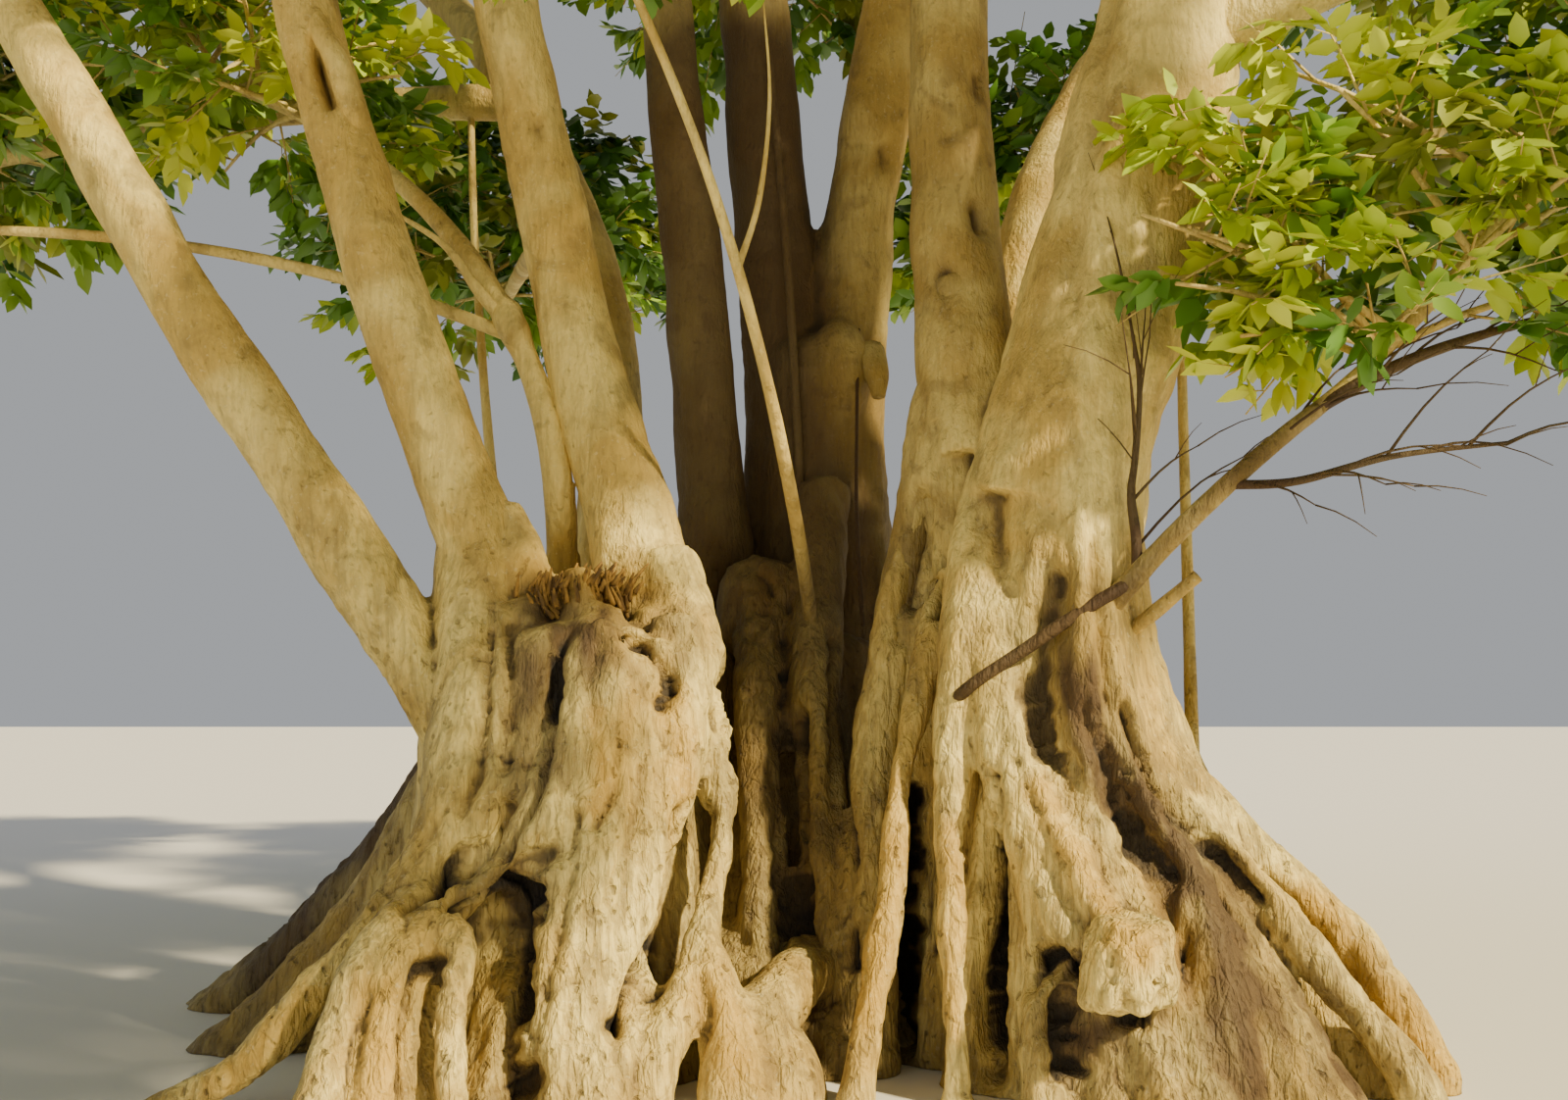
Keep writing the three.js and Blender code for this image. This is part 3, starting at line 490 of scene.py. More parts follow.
frontRoots = {  # routes of the roots on the trunk's face: x, y, z and radius, downwards
    "right": {
        "light_leg": [
            (1.04, -0.9, 2.75, 0.15), (0.92, -1.1, 2.3, 0.16), (0.84, -1.24, 1.85, 0.14),
            (0.76, -1.32, 1.45, 0.1),
            (0.74, -1.42, 1.05, 0.07), (0.73, -1.52, 0.7, 0.062), (0.73, -1.6, 0.3, 0.068),
            (0.73, -1.64, -0.1, 0.085),
        ],
        "thin_leg": [
            (0.82, -0.85, 2.3, 0.11), (0.72, -1.0, 1.95, 0.1), (0.6, -1.12, 1.6, 0.07),
            (0.53, -1.22, 1.3, 0.045), (0.48, -1.36, 0.9, 0.055),
            (0.4, -1.5, 0.5, 0.07), (0.33, -1.58, 0.15, 0.08), (0.28, -1.63, -0.1, 0.09),
        ],
        "middle_leg": [
            (1.02, -1.1, 2.35, 0.14), (0.98, -1.24, 2.0, 0.14), (0.95, -1.38, 1.55, 0.12),
            (1.02, -1.48, 1.2, 0.1), (1.08, -1.56, 0.9, 0.085),
            (1.09, -1.62, 0.6, 0.09), (1.09, -1.7, 0.3, 0.1), (1.08, -1.76, -0.1, 0.12),
        ],
        "leg_web": [
            (1.05, -1.5, 1.1, 0.08), (1.12, -1.6, 0.88, 0.1), (1.18, -1.68, 0.72, 0.1),
            (1.22, -1.72, 0.5, 0.1),
        ],
        "ochre_root": [
            (0.98, -1.2, 2.1, 0.09), (0.98, -1.36, 1.82, 0.09), (1.03, -1.46, 1.52, 0.095),
            (1.11, -1.54, 1.24, 0.095),
            (1.22, -1.64, 1.02, 0.095), (1.29, -1.72, 0.88, 0.085), (1.34, -1.78, 0.76, 0.08),
        ],
        "lit_flank": [
            (1.3, -1.14, 2.7, 0.17), (1.33, -1.26, 2.35, 0.16), (1.37, -1.35, 2.05, 0.13),
            (1.44, -1.42, 1.72, 0.1), (1.54, -1.46, 1.5, 0.08),
        ],
        "outer_ridge": [
            (1.46, -1.12, 2.5, 0.18), (1.53, -1.26, 2.1, 0.17), (1.6, -1.31, 1.75, 0.15),
            (1.8, -1.32, 1.42, 0.14),
            (2.06, -1.32, 1.1, 0.14), (2.3, -1.34, 0.86, 0.12), (2.5, -1.36, 0.64, 0.11),
            (2.66, -1.38, 0.38, 0.1),
            (2.8, -1.4, 0.12, 0.1), (2.86, -1.4, -0.1, 0.1),
        ],
        "inner_ridge": [
            (1.62, -1.4, 1.55, 0.08), (1.8, -1.47, 1.26, 0.08), (2.0, -1.52, 0.98, 0.09),
            (2.16, -1.57, 0.74, 0.085),
            (2.34, -1.62, 0.48, 0.085), (2.56, -1.66, 0.2, 0.09), (2.72, -1.7, -0.1, 0.1),
        ],
        "low_ridge": [
            (1.55, -1.5, 1.2, 0.12), (1.78, -1.62, 0.72, 0.14), (1.95, -1.74, 0.3, 0.15),
            (2.05, -1.8, -0.1, 0.17),
        ],
        "torn_ridge": [
            (1.36, -1.4, 1.75, 0.09), (1.44, -1.5, 1.5, 0.08), (1.56, -1.56, 1.26, 0.08),
            (1.68, -1.6, 1.05, 0.09),
            (1.76, -1.68, 0.8, 0.11), (1.8, -1.78, 0.4, 0.13), (1.84, -1.86, -0.1, 0.16),
        ],
        "burl_root": [
            (1.34, -1.55, 0.7, 0.17), (1.36, -1.65, 0.4, 0.17), (1.38, -1.72, 0.1, 0.19),
            (1.38, -1.76, -0.1, 0.21),
        ],
    },
    "left": {
        "winding_root": [
            (-1.47, -0.82, 2.4, 0.2), (-1.46, -0.98, 1.95, 0.19), (-1.44, -1.12, 1.55, 0.19),
            (-1.46, -1.2, 1.2, 0.2),
            (-1.55, -1.28, 0.98, 0.18), (-1.7, -1.4, 0.77, 0.135), (-1.86, -1.5, 0.6, 0.1),
            (-2.0, -1.57, 0.45, 0.085),
            (-2.13, -1.63, 0.29, 0.08), (-2.3, -1.7, 0.14, 0.075), (-2.48, -1.76, 0.05, 0.07),
            (-2.66, -1.82, -0.04, 0.07),
        ],
        "column_rib": [
            (-1.34, -1.0, 2.1, 0.09), (-1.32, -1.18, 1.75, 0.075), (-1.3, -1.28, 1.4, 0.075),
            (-1.38, -1.36, 1.1, 0.07),
        ],
        "column_edge": [
            (-1.22, -0.98, 2.15, 0.09), (-1.2, -1.14, 1.8, 0.07), (-1.18, -1.26, 1.5, 0.065),
            (-1.22, -1.34, 1.25, 0.06),
        ],
        "knee_left": [
            (-1.46, -1.44, 0.84, 0.12), (-1.58, -1.64, 0.74, 0.13), (-1.72, -1.82, 0.6, 0.1),
            (-1.79, -1.92, 0.38, 0.085), (-1.82, -2.02, 0.14, 0.09), (-1.86, -2.1, -0.1, 0.12),
        ],
        "knee_right": [
            (-1.46, -1.44, 0.84, 0.12), (-1.42, -1.68, 0.76, 0.12), (-1.34, -1.82, 0.62, 0.09),
            (-1.34, -1.9, 0.42, 0.07), (-1.32, -1.98, 0.18, 0.065), (-1.24, -2.06, -0.1, 0.08),
        ],
        "knee_face": [
            (-1.5, -1.62, 0.78, 0.11), (-1.56, -1.8, 0.6, 0.12), (-1.6, -1.9, 0.36, 0.13),
            (-1.62, -1.98, -0.1, 0.15),
        ],
        "slab_edge": [
            (-0.88, -0.94, 2.1, 0.12), (-0.92, -1.16, 1.8, 0.14), (-0.95, -1.3, 1.5, 0.14),
            (-1.04, -1.4, 1.2, 0.13),
            (-1.18, -1.48, 0.98, 0.11), (-1.36, -1.54, 0.82, 0.08),
        ],
        "slab_face": [
            (-0.68, -1.0, 1.95, 0.24), (-0.67, -1.12, 1.5, 0.27), (-0.74, -1.25, 1.1, 0.27),
            (-0.84, -1.4, 0.7, 0.25), (-0.92, -1.5, 0.3, 0.23), (-0.96, -1.55, -0.1, 0.24),
        ],
        "slab_middle": [
            (-0.76, -1.12, 2.0, 0.13), (-0.76, -1.26, 1.58, 0.16), (-0.8, -1.38, 1.15, 0.18),
            (-0.88, -1.54, 0.67, 0.17), (-0.92, -1.66, 0.3, 0.16), (-0.94, -1.74, -0.1, 0.18),
        ],
        "slab_foot": [
            (-0.96, -1.36, 1.3, 0.13), (-1.0, -1.5, 0.9, 0.12), (-1.0, -1.64, 0.4, 0.13),
            (-1.0, -1.74, -0.1, 0.15),
        ],
        "slab_side": [
            (-0.52, -0.98, 2.05, 0.15), (-0.48, -1.16, 1.65, 0.15), (-0.52, -1.3, 1.25, 0.13),
            (-0.6, -1.42, 0.9, 0.11),
            (-0.68, -1.52, 0.62, 0.09), (-0.74, -1.62, 0.42, 0.07), (-0.8, -1.68, 0.2, 0.08),
            (-0.82, -1.72, -0.1, 0.1),
        ],
        "standing_leg": [
            (-0.62, -0.6, 2.35, 0.2), (-0.46, -0.84, 1.95, 0.17), (-0.34, -1.0, 1.6, 0.13),
            (-0.3, -1.1, 1.3, 0.1),
            (-0.31, -1.2, 1.04, 0.085), (-0.35, -1.34, 0.78, 0.075), (-0.38, -1.46, 0.56, 0.085),
            (-0.46, -1.58, 0.36, 0.1), (-0.56, -1.66, 0.12, 0.12), (-0.6, -1.7, -0.1, 0.13),
        ],
        "web_foot": [
            (-0.1, -1.5, 0.3, 0.12), (-0.02, -1.52, 0.1, 0.18), (0.0, -1.52, -0.1, 0.2),
        ],
        "leg_flare": [
            (-0.37, -1.44, 0.6, 0.085), (-0.27, -1.54, 0.4, 0.11), (-0.2, -1.62, 0.15, 0.16),
            (-0.18, -1.66, -0.1, 0.19),
        ],
        "leg_branch": [
            (-0.26, -1.54, 0.32, 0.12), (-0.14, -1.48, 0.3, 0.13), (-0.02, -1.34, 0.36, 0.13),
            (0.06, -1.14, 0.44, 0.13), (0.12, -0.9, 0.4, 0.2),
        ],
        "shoulder": [
            (-1.4, -0.8, 2.6, 0.12), (-1.27, -0.86, 2.36, 0.12), (-1.18, -0.92, 2.12, 0.11),
            (-1.16, -1.0, 1.8, 0.1),
            (-1.2, -1.1, 1.4, 0.1),
        ],
    },
    "centre": {
        "centre_root": [
            (0.22, 0.42, 2.9, 0.16), (0.2, 0.05, 2.3, 0.15), (0.16, -0.3, 1.8, 0.14),
            (0.18, -0.6, 1.2, 0.13),
            (0.22, -0.85, 0.6, 0.15), (0.25, -0.98, -0.1, 0.2),
        ],
        "centre_left": [
            (-0.1, 0.2, 2.3, 0.16), (-0.14, -0.3, 1.7, 0.13), (-0.1, -0.62, 1.0, 0.12),
            (-0.06, -0.9, 0.3, 0.15),
            (-0.05, -0.98, -0.1, 0.2),
        ],
        "leaning_root": [
            (0.84, -0.5, 2.9, 0.15), (0.66, -0.62, 2.3, 0.17), (0.5, -0.7, 1.7, 0.14),
            (0.42, -0.82, 1.1, 0.13),
            (0.38, -0.96, 0.5, 0.14), (0.36, -1.04, -0.1, 0.18),
        ],
        "mound": [
            (-0.3, -0.6, 0.5, 0.2), (-0.1, -0.85, 0.3, 0.24), (0.1, -0.95, 0.1, 0.26),
            (0.3, -1.0, -0.1, 0.24),
        ],
    },
}
knobs = {  # centre, half sizes and how square it is: 1 is round
    "right": [
        ((1.4, -1.9, 0.6), (0.185, 0.24, 0.18), 0.62), ((1.3, -1.92, 0.54), (0.11, 0.2, 0.13), 0.7),
        ((1.42, -1.9, 0.72), (0.17, 0.22, 0.09), 0.7),
    ],
    "centre": [((-0.13, 0.15, 2.2), (0.24, 0.2, 0.28), 0.7)],
    "back": [((0.33, 0.64, 3.62), (0.18, 0.21, 0.33), 1)],
    "left": [((-1.05, -0.72, 2.12), (0.24, 0.2, 0.2), 0.8), ((-0.78, -0.6, 2.2), (0.2, 0.2, 0.2), 0.8)],
}
carving = {  # sizes in metres; the rest are counts and shares
    "voxel": {"right": 0.021, "left": 0.021, "centre": 0.023, "side_left": 0.03, "back": 0.032},
    "smoothing": 4, "softness": 0.5, "belowGround": 0.1, "columnSides": 72, "columnRings": 40,
    "columnFlare": 1.4, "fluteAtHead": 0.03, "fluteAtFoot": 0.15, "fluteMiddle": 0.9, "folds": (3, 7),
    "fineFolds": 4, "fineShare": 0.5, "twist": 6.283, "turn": 0.5, "fineTurn": -0.4, "domeRise": 0.4,
    "domeRings": 5, "domeTop": 1.5, "rootSides": 24, "rootStep": 0.05, "knobSides": 40, "knobRings": 25,
    "knobTop": 1.5, "stubStart": -0.5, "stubRise": 0.5, "stubShrink": 0.12, "stubSides": 48,
    "stubRings": 24,
}
trunkStubs = {  # the stems whose lowest stretch runs up from each part of the trunk
    "right": ("stem_main_right", "stem_mid_right"),
    "back": ("stem_back_right", "stem_centre", "stem_centre_fork", "stem_back_left", "stem_rear_left"),
    "left": ("stem_left_outer", "stem_left", "stem_slender", "stem_mid_left"),
}


def columnTube(row, seed):  # level rings that swing out as share^bend, with flutes, and a dome on top
    headX, headY, headZ, headRadius, footX, footY, along, across, bend, rise = row
    low = rise if rise else -carving["belowGround"]
    height = np.linspace(low, headZ, carving["columnRings"])
    down = 1 - (height - rise) / (headZ - rise)
    lean = np.array([footX - headX, footY - headY])
    way = lean / np.linalg.norm(lean) if np.linalg.norm(lean) > 1e-3 else np.array([1.0, 0.0])
    middle = np.array([headX, headY]) + lean * (np.maximum(down, 0) ** bend)[:, None]
    angle = np.linspace(0, 2 * math.pi, carving["columnSides"], endpoint=False)
    fewest, more = carving["folds"]
    folds = int(fewest + more * min(along, 1))
    fine = folds + carving["fineFolds"]
    twist = carving["twist"] * seeded(seed, 1, 5)
    crest = np.abs(np.cos(folds * angle / 2 + twist + carving["turn"] * down[:, None]))
    fineWave = np.cos(fine * angle / 2 + 2 * twist + carving["fineTurn"] * down[:, None])
    crest += carving["fineShare"] * np.abs(fineWave)
    depth = carving["fluteAtHead"] + (carving["fluteAtFoot"] - carving["fluteAtHead"]) * np.clip(down, 0, 1)
    swell = 1 + depth[:, None] * (crest - carving["fluteMiddle"])
    spread = np.clip(down, 0, 2) ** carving["columnFlare"]
    radiusAlong = (headRadius + (along - headRadius) * spread)[:, None] * swell
    radiusAcross = (headRadius + (across - headRadius) * spread)[:, None] * swell
    flatX = radiusAlong * np.cos(angle)
    flatY = radiusAcross * np.sin(angle)
    x = middle[:, :1] + flatX * way[0] - flatY * way[1]
    y = middle[:, 1:] + flatX * way[1] + flatY * way[0]
    z = np.broadcast_to(height[:, None], x.shape)
    rings = np.stack([x, y, z], -1)
    latitude = np.linspace(0, carving["domeTop"], carving["domeRings"] + 1)[1:, None, None]
    top = np.array([headX, headY, headZ])
    lift = carving["domeRise"] * headRadius * np.sin(latitude) * up
    dome = top + (rings[-1] - top) * np.cos(latitude) + lift
    return skinOf(np.concatenate([rings, dome]))


def knobShape(centre, sizes, power):  # an ellipsoid with its cosines and sines to a power: below 1 is boxy
    def bent(wave):
        return np.sign(wave) * np.abs(wave) ** power

    latitude = np.linspace(-carving["knobTop"], carving["knobTop"], carving["knobRings"])[:, None]
    turn = np.linspace(0, 2 * math.pi, carving["knobSides"], endpoint=False)
    flat = bent(np.cos(latitude))
    levels = bent(np.sin(latitude)) + 0 * turn
    ball = np.stack([flat * bent(np.cos(turn)), flat * bent(np.sin(turn)), levels], -1)
    return skinOf(np.array(centre) + ball * np.array(sizes))


def stubTube(name):  # the stem's own lowest stretch, slimmer as it rises inside it
    curve, radii, _ = limbs[name]
    length = np.linalg.norm(curve[2] - curve[0])
    share = np.linspace(carving["stubStart"] / length, carving["stubRise"] / length, carving["stubRings"])
    thin = np.clip(share * length / carving["stubRise"], 0, 1)
    radius = (radii[0] + (radii[1] - radii[0]) * np.maximum(share, 0)) * (1 - carving["stubShrink"] * thin)
    return skinOf(ringsAlong(curveAt(curve, share), radius, carving["stubSides"]))


def remeshed(verts, faces, voxel):  # one even skin round everything, smoothed and cut level at the ground
    mesh = bpy.data.meshes.new("rough")
    mesh.from_pydata(verts.tolist(), [], faces.tolist())
    rough = bpy.data.objects.new("rough", mesh)
    bpy.context.scene.collection.objects.link(rough)
    skin = rough.modifiers.new("skin", "REMESH")
    skin.mode = "VOXEL"
    skin.voxel_size = voxel
    soften = rough.modifiers.new("soften", "SMOOTH")
    soften.iterations = carving["smoothing"]
    soften.factor = carving["softness"]
    evaluated = rough.evaluated_get(bpy.context.evaluated_depsgraph_get())
    work = bmesh.new()
    work.from_mesh(evaluated.to_mesh())
    bpy.data.objects.remove(rough)
    everything = work.verts[:] + work.edges[:] + work.faces[:]
    bmesh.ops.bisect_plane(work, geom=everything, plane_co=(0, 0, 0), plane_no=(0, 0, 1), clear_inner=True)
    rim = [edge for edge in work.edges if edge.is_boundary]
    bmesh.ops.holes_fill(work, edges=rim, sides=0)
    bmesh.ops.triangulate(work, faces=[face for face in work.faces if len(face.verts) > 4])
    made = bpy.data.meshes.new("trunk")
    work.to_mesh(made)
    work.free()
    return made


def evened(spots, edges, rounds):  # each point moved to the mean of its neighbours, over and over
    ends = np.concatenate([edges[:, 0], edges[:, 1]])
    others = np.concatenate([edges[:, 1], edges[:, 0]])
    count = np.maximum(np.bincount(ends, minlength=len(spots)), 1)
    for _ in range(rounds):
        spots = np.stack([np.bincount(ends, spots[others, i], len(spots)) / count for i in range(3)], 1)
    return spots


marking = {"step": 0.03, "widths": 3, "faceReach": 0.03, "nowhere": 9.0}


def nearRoute(spots, route, width):  # 1 on a route, falling off as a bell of the given width
    path = smoothRoute(route, marking["step"])[:, :3]
    margin = marking["widths"] * width
    close = ((spots > path.min(0) - margin) & (spots < path.max(0) + margin)).all(axis=1)
    share = np.zeros(len(spots))
    gaps = np.linalg.norm(spots[close][:, None] - path[None], axis=-1).min(axis=1)
    share[close] = np.exp(-((gaps / width) ** 2))
    return share


def onFace(spots, route):  # a route of x and z is laid on the front of the skin; one of x, y and z stays
    def frontY(x, z):
        reach = marking["faceReach"]
        near = (np.abs(spots[:, 0] - x) < reach) & (np.abs(spots[:, 2] - z) < reach)
        return spots[near, 1].min() if near.any() else marking["nowhere"]

    return [spot if len(spot) == 3 else (spot[0], frontY(*spot), spot[1]) for spot in route]


waist = {"height": 2.15, "reach": 0.9, "depth": 0.26, "from": 1.2, "to": 1.75, "front": -1.1, "back": 0.9}


def drawnIn(spots):  # the main stem's right side, pushed left round its waist as a bell
    x, y, z = spots.T
    side = np.clip((x - waist["from"]) / (waist["to"] - waist["from"]), 0, 1)
    level = (z - waist["height"]) / waist["reach"]
    behind = (y - waist["front"]) / waist["back"]
    bell = np.exp(-(level**2) - behind**2)
    return np.stack([x - waist["depth"] * bell * side**2 * (3 - 2 * side), y, z], 1)


grooves = {  # on the face of each part: route as x and z, width, depth and how much painted shade darkens it
    "right": [
        ([(1.2, 2.2), (1.13, 1.9), (1.11, 1.65), (1.16, 1.45), (1.3, 1.28)], 0.08, 0.07, 0.1),
        ([(1.34, 1.6), (1.42, 1.36), (1.52, 1.16), (1.64, 0.98)], 0.08, 0.09, 0.3),
        ([(1.58, 1.62), (1.62, 1.44), (1.74, 1.24), (1.9, 1.04), (2.04, 0.84)], 0.04, 0.09, 0.4),
        ([(1.93, 0.86), (2.02, 0.7), (2.1, 0.56)], 0.05, 0.1, 0.5),
        ([(0.98, 0.52), (1.08, 0.6), (1.16, 0.58)], 0.06, 0.14, 0.6),
        ([(1.14, 0.4), (1.16, 0.2)], 0.06, 0.1, 0.4),
        ([(0.64, 2.62), (0.66, 2.45), (0.62, 2.24)], 0.085, 0.24, 0.8),
        ([(0.72, 2.3), (0.7, 2.12)], 0.05, 0.12, 0.7),
        # painted shadow in the deep gaps between the legs
        ([(0.88, 1.3), (0.88, 0.9), (0.88, 0.5), (0.88, 0.1)], 0.06, 0.3, 1.0),
        ([(0.6, 1.25), (0.57, 0.9), (0.54, 0.5), (0.52, 0.1)], 0.06, 0.34, 1.0),
        ([(1.0, 1.42), (1.08, 1.18), (1.16, 1.0)], 0.03, 0.05, 0.6),
        ([(1.56, 0.62), (1.56, 0.5), (1.5, 0.42), (1.36, 0.38), (1.22, 0.4)], 0.04, 0.08, 0.8),
        ([(1.48, 0.76), (1.5, 0.66), (1.46, 0.58)], 0.014, 0.03, 0.3),
        ([(1.22, 2.62), (1.24, 2.48), (1.2, 2.36)], 0.015, 0.02, 0.5),
        ([(1.4, 2.55), (1.42, 2.4)], 0.014, 0.02, 0.5),
    ],
    "left": [
        (
            [(-1.02, 2.02), (-1.08, 1.7), (-1.1, 1.4), (-1.2, 1.14), (-1.42, 0.98), (-1.6, 0.86)],
            0.05, 0.12, 0.5,
        ),
        ([(-1.4, 0.9), (-1.24, 0.86), (-1.1, 0.82)], 0.09, 0.16, 0.6),
        ([(-1.26, 1.02), (-1.12, 1.0), (-1.0, 1.06)], 0.06, 0.08, 0.4),
        ([(-1.2, 0.66), (-1.15, 0.4), (-1.13, 0.1)], 0.11, 0.16, 0.15),
        ([(-1.46, 0.6), (-1.47, 0.35), (-1.46, 0.08)], 0.05, 0.12, 0.6),
        ([(-1.68, 0.52), (-1.7, 0.3), (-1.7, 0.06)], 0.025, 0.04, 0.5),
        ([(-0.43, 1.16), (-0.46, 0.9), (-0.52, 0.66), (-0.62, 0.46), (-0.7, 0.34)], 0.05, 0.2, 0.6),
        # painted shadow in the gap between the slab and the standing leg
        (
            [(-0.43, -1.2, 1.1), (-0.49, -1.27, 0.85), (-0.54, -1.33, 0.65), (-0.62, -1.41, 0.45)],
            0.1, 0.12, 2.4,
        ),
        ([(-0.17, 1.6), (-0.17, 1.1), (-0.19, 0.8), (-0.18, 0.6)], 0.08, 0.3, 0.8),
        # painted shadow in the gap right of the standing leg
        ([(-0.22, -0.9, 1.7), (-0.22, -0.9, 1.2), (-0.2, -1.0, 0.6)], 0.14, 0.2, 1.4),
        (
            [(-0.77, 2.04), (-0.7, 1.98), (-0.62, 1.94), (-0.55, 1.88), (-0.52, 1.78), (-0.54, 1.68)],
            0.03, 0.12, 0.7,
        ),
        ([(-0.86, 1.95), (-0.88, 1.75), (-0.84, 1.6)], 0.02, 0.04, 0.3),
        ([(-0.72, 1.5), (-0.74, 1.3), (-0.82, 1.14)], 0.022, 0.05, 0.4),
        ([(-0.62, 1.4), (-0.66, 1.1), (-0.76, 0.8)], 0.022, 0.04, 0.4),
        ([(-0.9, 1.2), (-0.92, 0.9), (-0.96, 0.6)], 0.025, 0.04, 0.5),
        ([(-0.82, 0.9), (-0.86, 0.6), (-0.88, 0.3)], 0.022, 0.035, 0.4),
        ([(-1.37, 2.0), (-1.36, 1.7), (-1.36, 1.4), (-1.42, 1.2)], 0.03, 0.05, 0.0),
        ([(-1.27, 2.05), (-1.26, 1.7), (-1.24, 1.4)], 0.03, 0.06, 0.1),
        ([(-1.5, 1.2), (-1.62, 1.0), (-1.8, 0.78)], 0.016, 0.02, 0.25),
        ([(-0.36, 0.5), (-0.34, 0.36), (-0.38, 0.2)], 0.025, 0.04, 0.5),
    ],
    "centre": [
        ([(0.04, 1.6), (0.04, 1.1), (0.06, 0.6), (0.08, 0.1)], 0.07, 0.14, 0.9),
        ([(0.3, 2.0), (0.3, 1.5), (0.29, 1.0), (0.3, 0.5)], 0.05, 0.1, 0.8),
        ([(0.66, 2.5), (0.66, 2.3), (0.62, 2.1)], 0.1, 0.14, 1.0),
        ([(-0.1, 2.4), (-0.05, 2.3), (-0.07, 2.18)], 0.032, 0.08, 0.8),
    ],
}
ochreMarks = {  # on the face of each part, where the bark is ochre: route and width
    "right": [
        ([(1.1, 1.3), (1.22, 1.03), (1.34, 0.84)], 0.09), ([(1.3, 0.76), (1.38, 0.7)], 0.08),
        ([(0.73, 1.1), (0.73, 0.7), (0.73, 0.3)], 0.07),
        ([(0.5, 1.3), (0.47, 0.9), (0.36, 0.4)], 0.08),
        ([(1.55, 0.95), (1.62, 0.8), (1.66, 0.6)], 0.1),
        ([(2.3, 0.8), (2.6, 0.4), (2.8, 0.1)], 0.12),
    ],
    "left": [
        ([(-0.84, 1.62), (-0.8, 1.4), (-0.84, 1.2)], 0.06),
        ([(-0.5, 1.7), (-0.46, 1.5), (-0.42, 1.3)], 0.09),
        ([(-1.2, 2.3), (-0.9, 2.25), (-0.75, 2.2)], 0.13),
        ([(-1.66, 0.5), (-1.62, 0.3), (-1.6, 0.1)], 0.12),
        ([(-0.32, 0.45), (-0.22, 0.2)], 0.14),
        ([(-2.0, 0.45), (-2.3, 0.16)], 0.1),
    ],
    "centre": [([(-0.05, 2.35), (-0.1, 2.25)], 0.1)],
}
shadowMarks = {  # on the face of each part, where brown shade is painted: route, width and strength
    "right": [
        ([(1.4, 1.8), (1.5, 1.5), (1.66, 1.22), (1.8, 1.0)], 0.17, 0.85),
        ([(1.2, 2.2), (1.22, 1.8), (1.32, 1.5), (1.45, 1.25)], 0.15, 0.8),
        ([(1.78, 0.84), (1.86, 0.55), (1.92, 0.15)], 0.25, 1.3),
        ([(2.24, 0.42), (2.36, 0.12)], 0.18, 0.9),
        ([(1.12, 0.55), (1.18, 0.3)], 0.12, 0.8),
        ([(1.3, 0.34), (1.46, 0.28)], 0.12, 0.7),
        ([(0.62, 2.6), (0.6, 2.2), (0.56, 1.8)], 0.12, 0.5),
        ([(2.5, 0.5), (2.7, 0.2)], 0.13, 0.55),
    ],
    "left": [
        ([(-1.14, 2.2), (-1.14, 1.8), (-1.14, 1.4)], 0.17, 0.9),
        ([(-1.16, 0.7), (-1.14, 0.4), (-1.13, 0.1)], 0.13, 0.8),
        ([(-0.88, 2.1), (-0.86, 1.9), (-0.72, 1.82)], 0.17, 0.85),
        ([(-0.6, 2.1), (-0.46, 1.95)], 0.17, 0.75),
        ([(-1.3, 0.97), (-1.12, 0.95)], 0.14, 0.7),
        ([(-0.78, 1.2), (-0.84, 0.8)], 0.1, 0.25),
    ],
    "side_left": [
        ([(-1.6, -0.7, 1.5), (-2.0, -0.75, 0.9), (-2.6, -0.7, 0.3)], 0.6, 0.45),
        ([(-1.6, -0.3, 1.5), (-2.3, 0.1, 0.8), (-3.0, 0.45, 0.2)], 0.5, 0.2),
    ],
}
rugged = {  # on the face of each part, where the bark is broken into small lumps: route and width
    "right": [([(1.3, 0.72), (1.38, 0.6), (1.48, 0.5)], 0.22), ([(1.56, 1.4), (1.7, 1.1)], 0.12)],
    "left": [([(-1.36, 0.7), (-1.34, 0.4)], 0.09), ([(-0.9, 2.05), (-0.7, 1.95), (-0.5, 2.0)], 0.12)],
    "centre": [([(-0.13, 2.4), (-0.13, 2.1)], 0.2)],
}
shadedRoutes = [  # painted shade, over a grey-brown bark, along limbs and stretches of trunk that lie in shadow: routes and widths, for trunk and limbs alike
    ([(-0.42, 0.5, 1.0), (-0.42, 0.5, 2.95), (-0.64, 0.5, 5.3)], 0.55),
    ([(0.15, 0.85, 0.5), (0.15, 0.9, 3.0), (-0.05, 0.9, 4.45), (-0.16, 0.9, 5.6)], 0.6),
    ([(0.6, -0.3, 0.6), (0.9, -0.5, 3.35), (0.9, -0.3, 5.4)], 0.3),
    ([(0.0, -0.8, 0.0), (0.0, -0.4, 1.2), (0.1, 0.1, 2.3)], 0.7),
    ([(-2.6, 0.4, 0.4), (-1.6, -0.1, 1.8)], 0.5),
    ([(1.5, -1.55, 2.15), (1.8, -1.72, 2.52), (2.35, -1.62, 2.96)], 0.1),
]


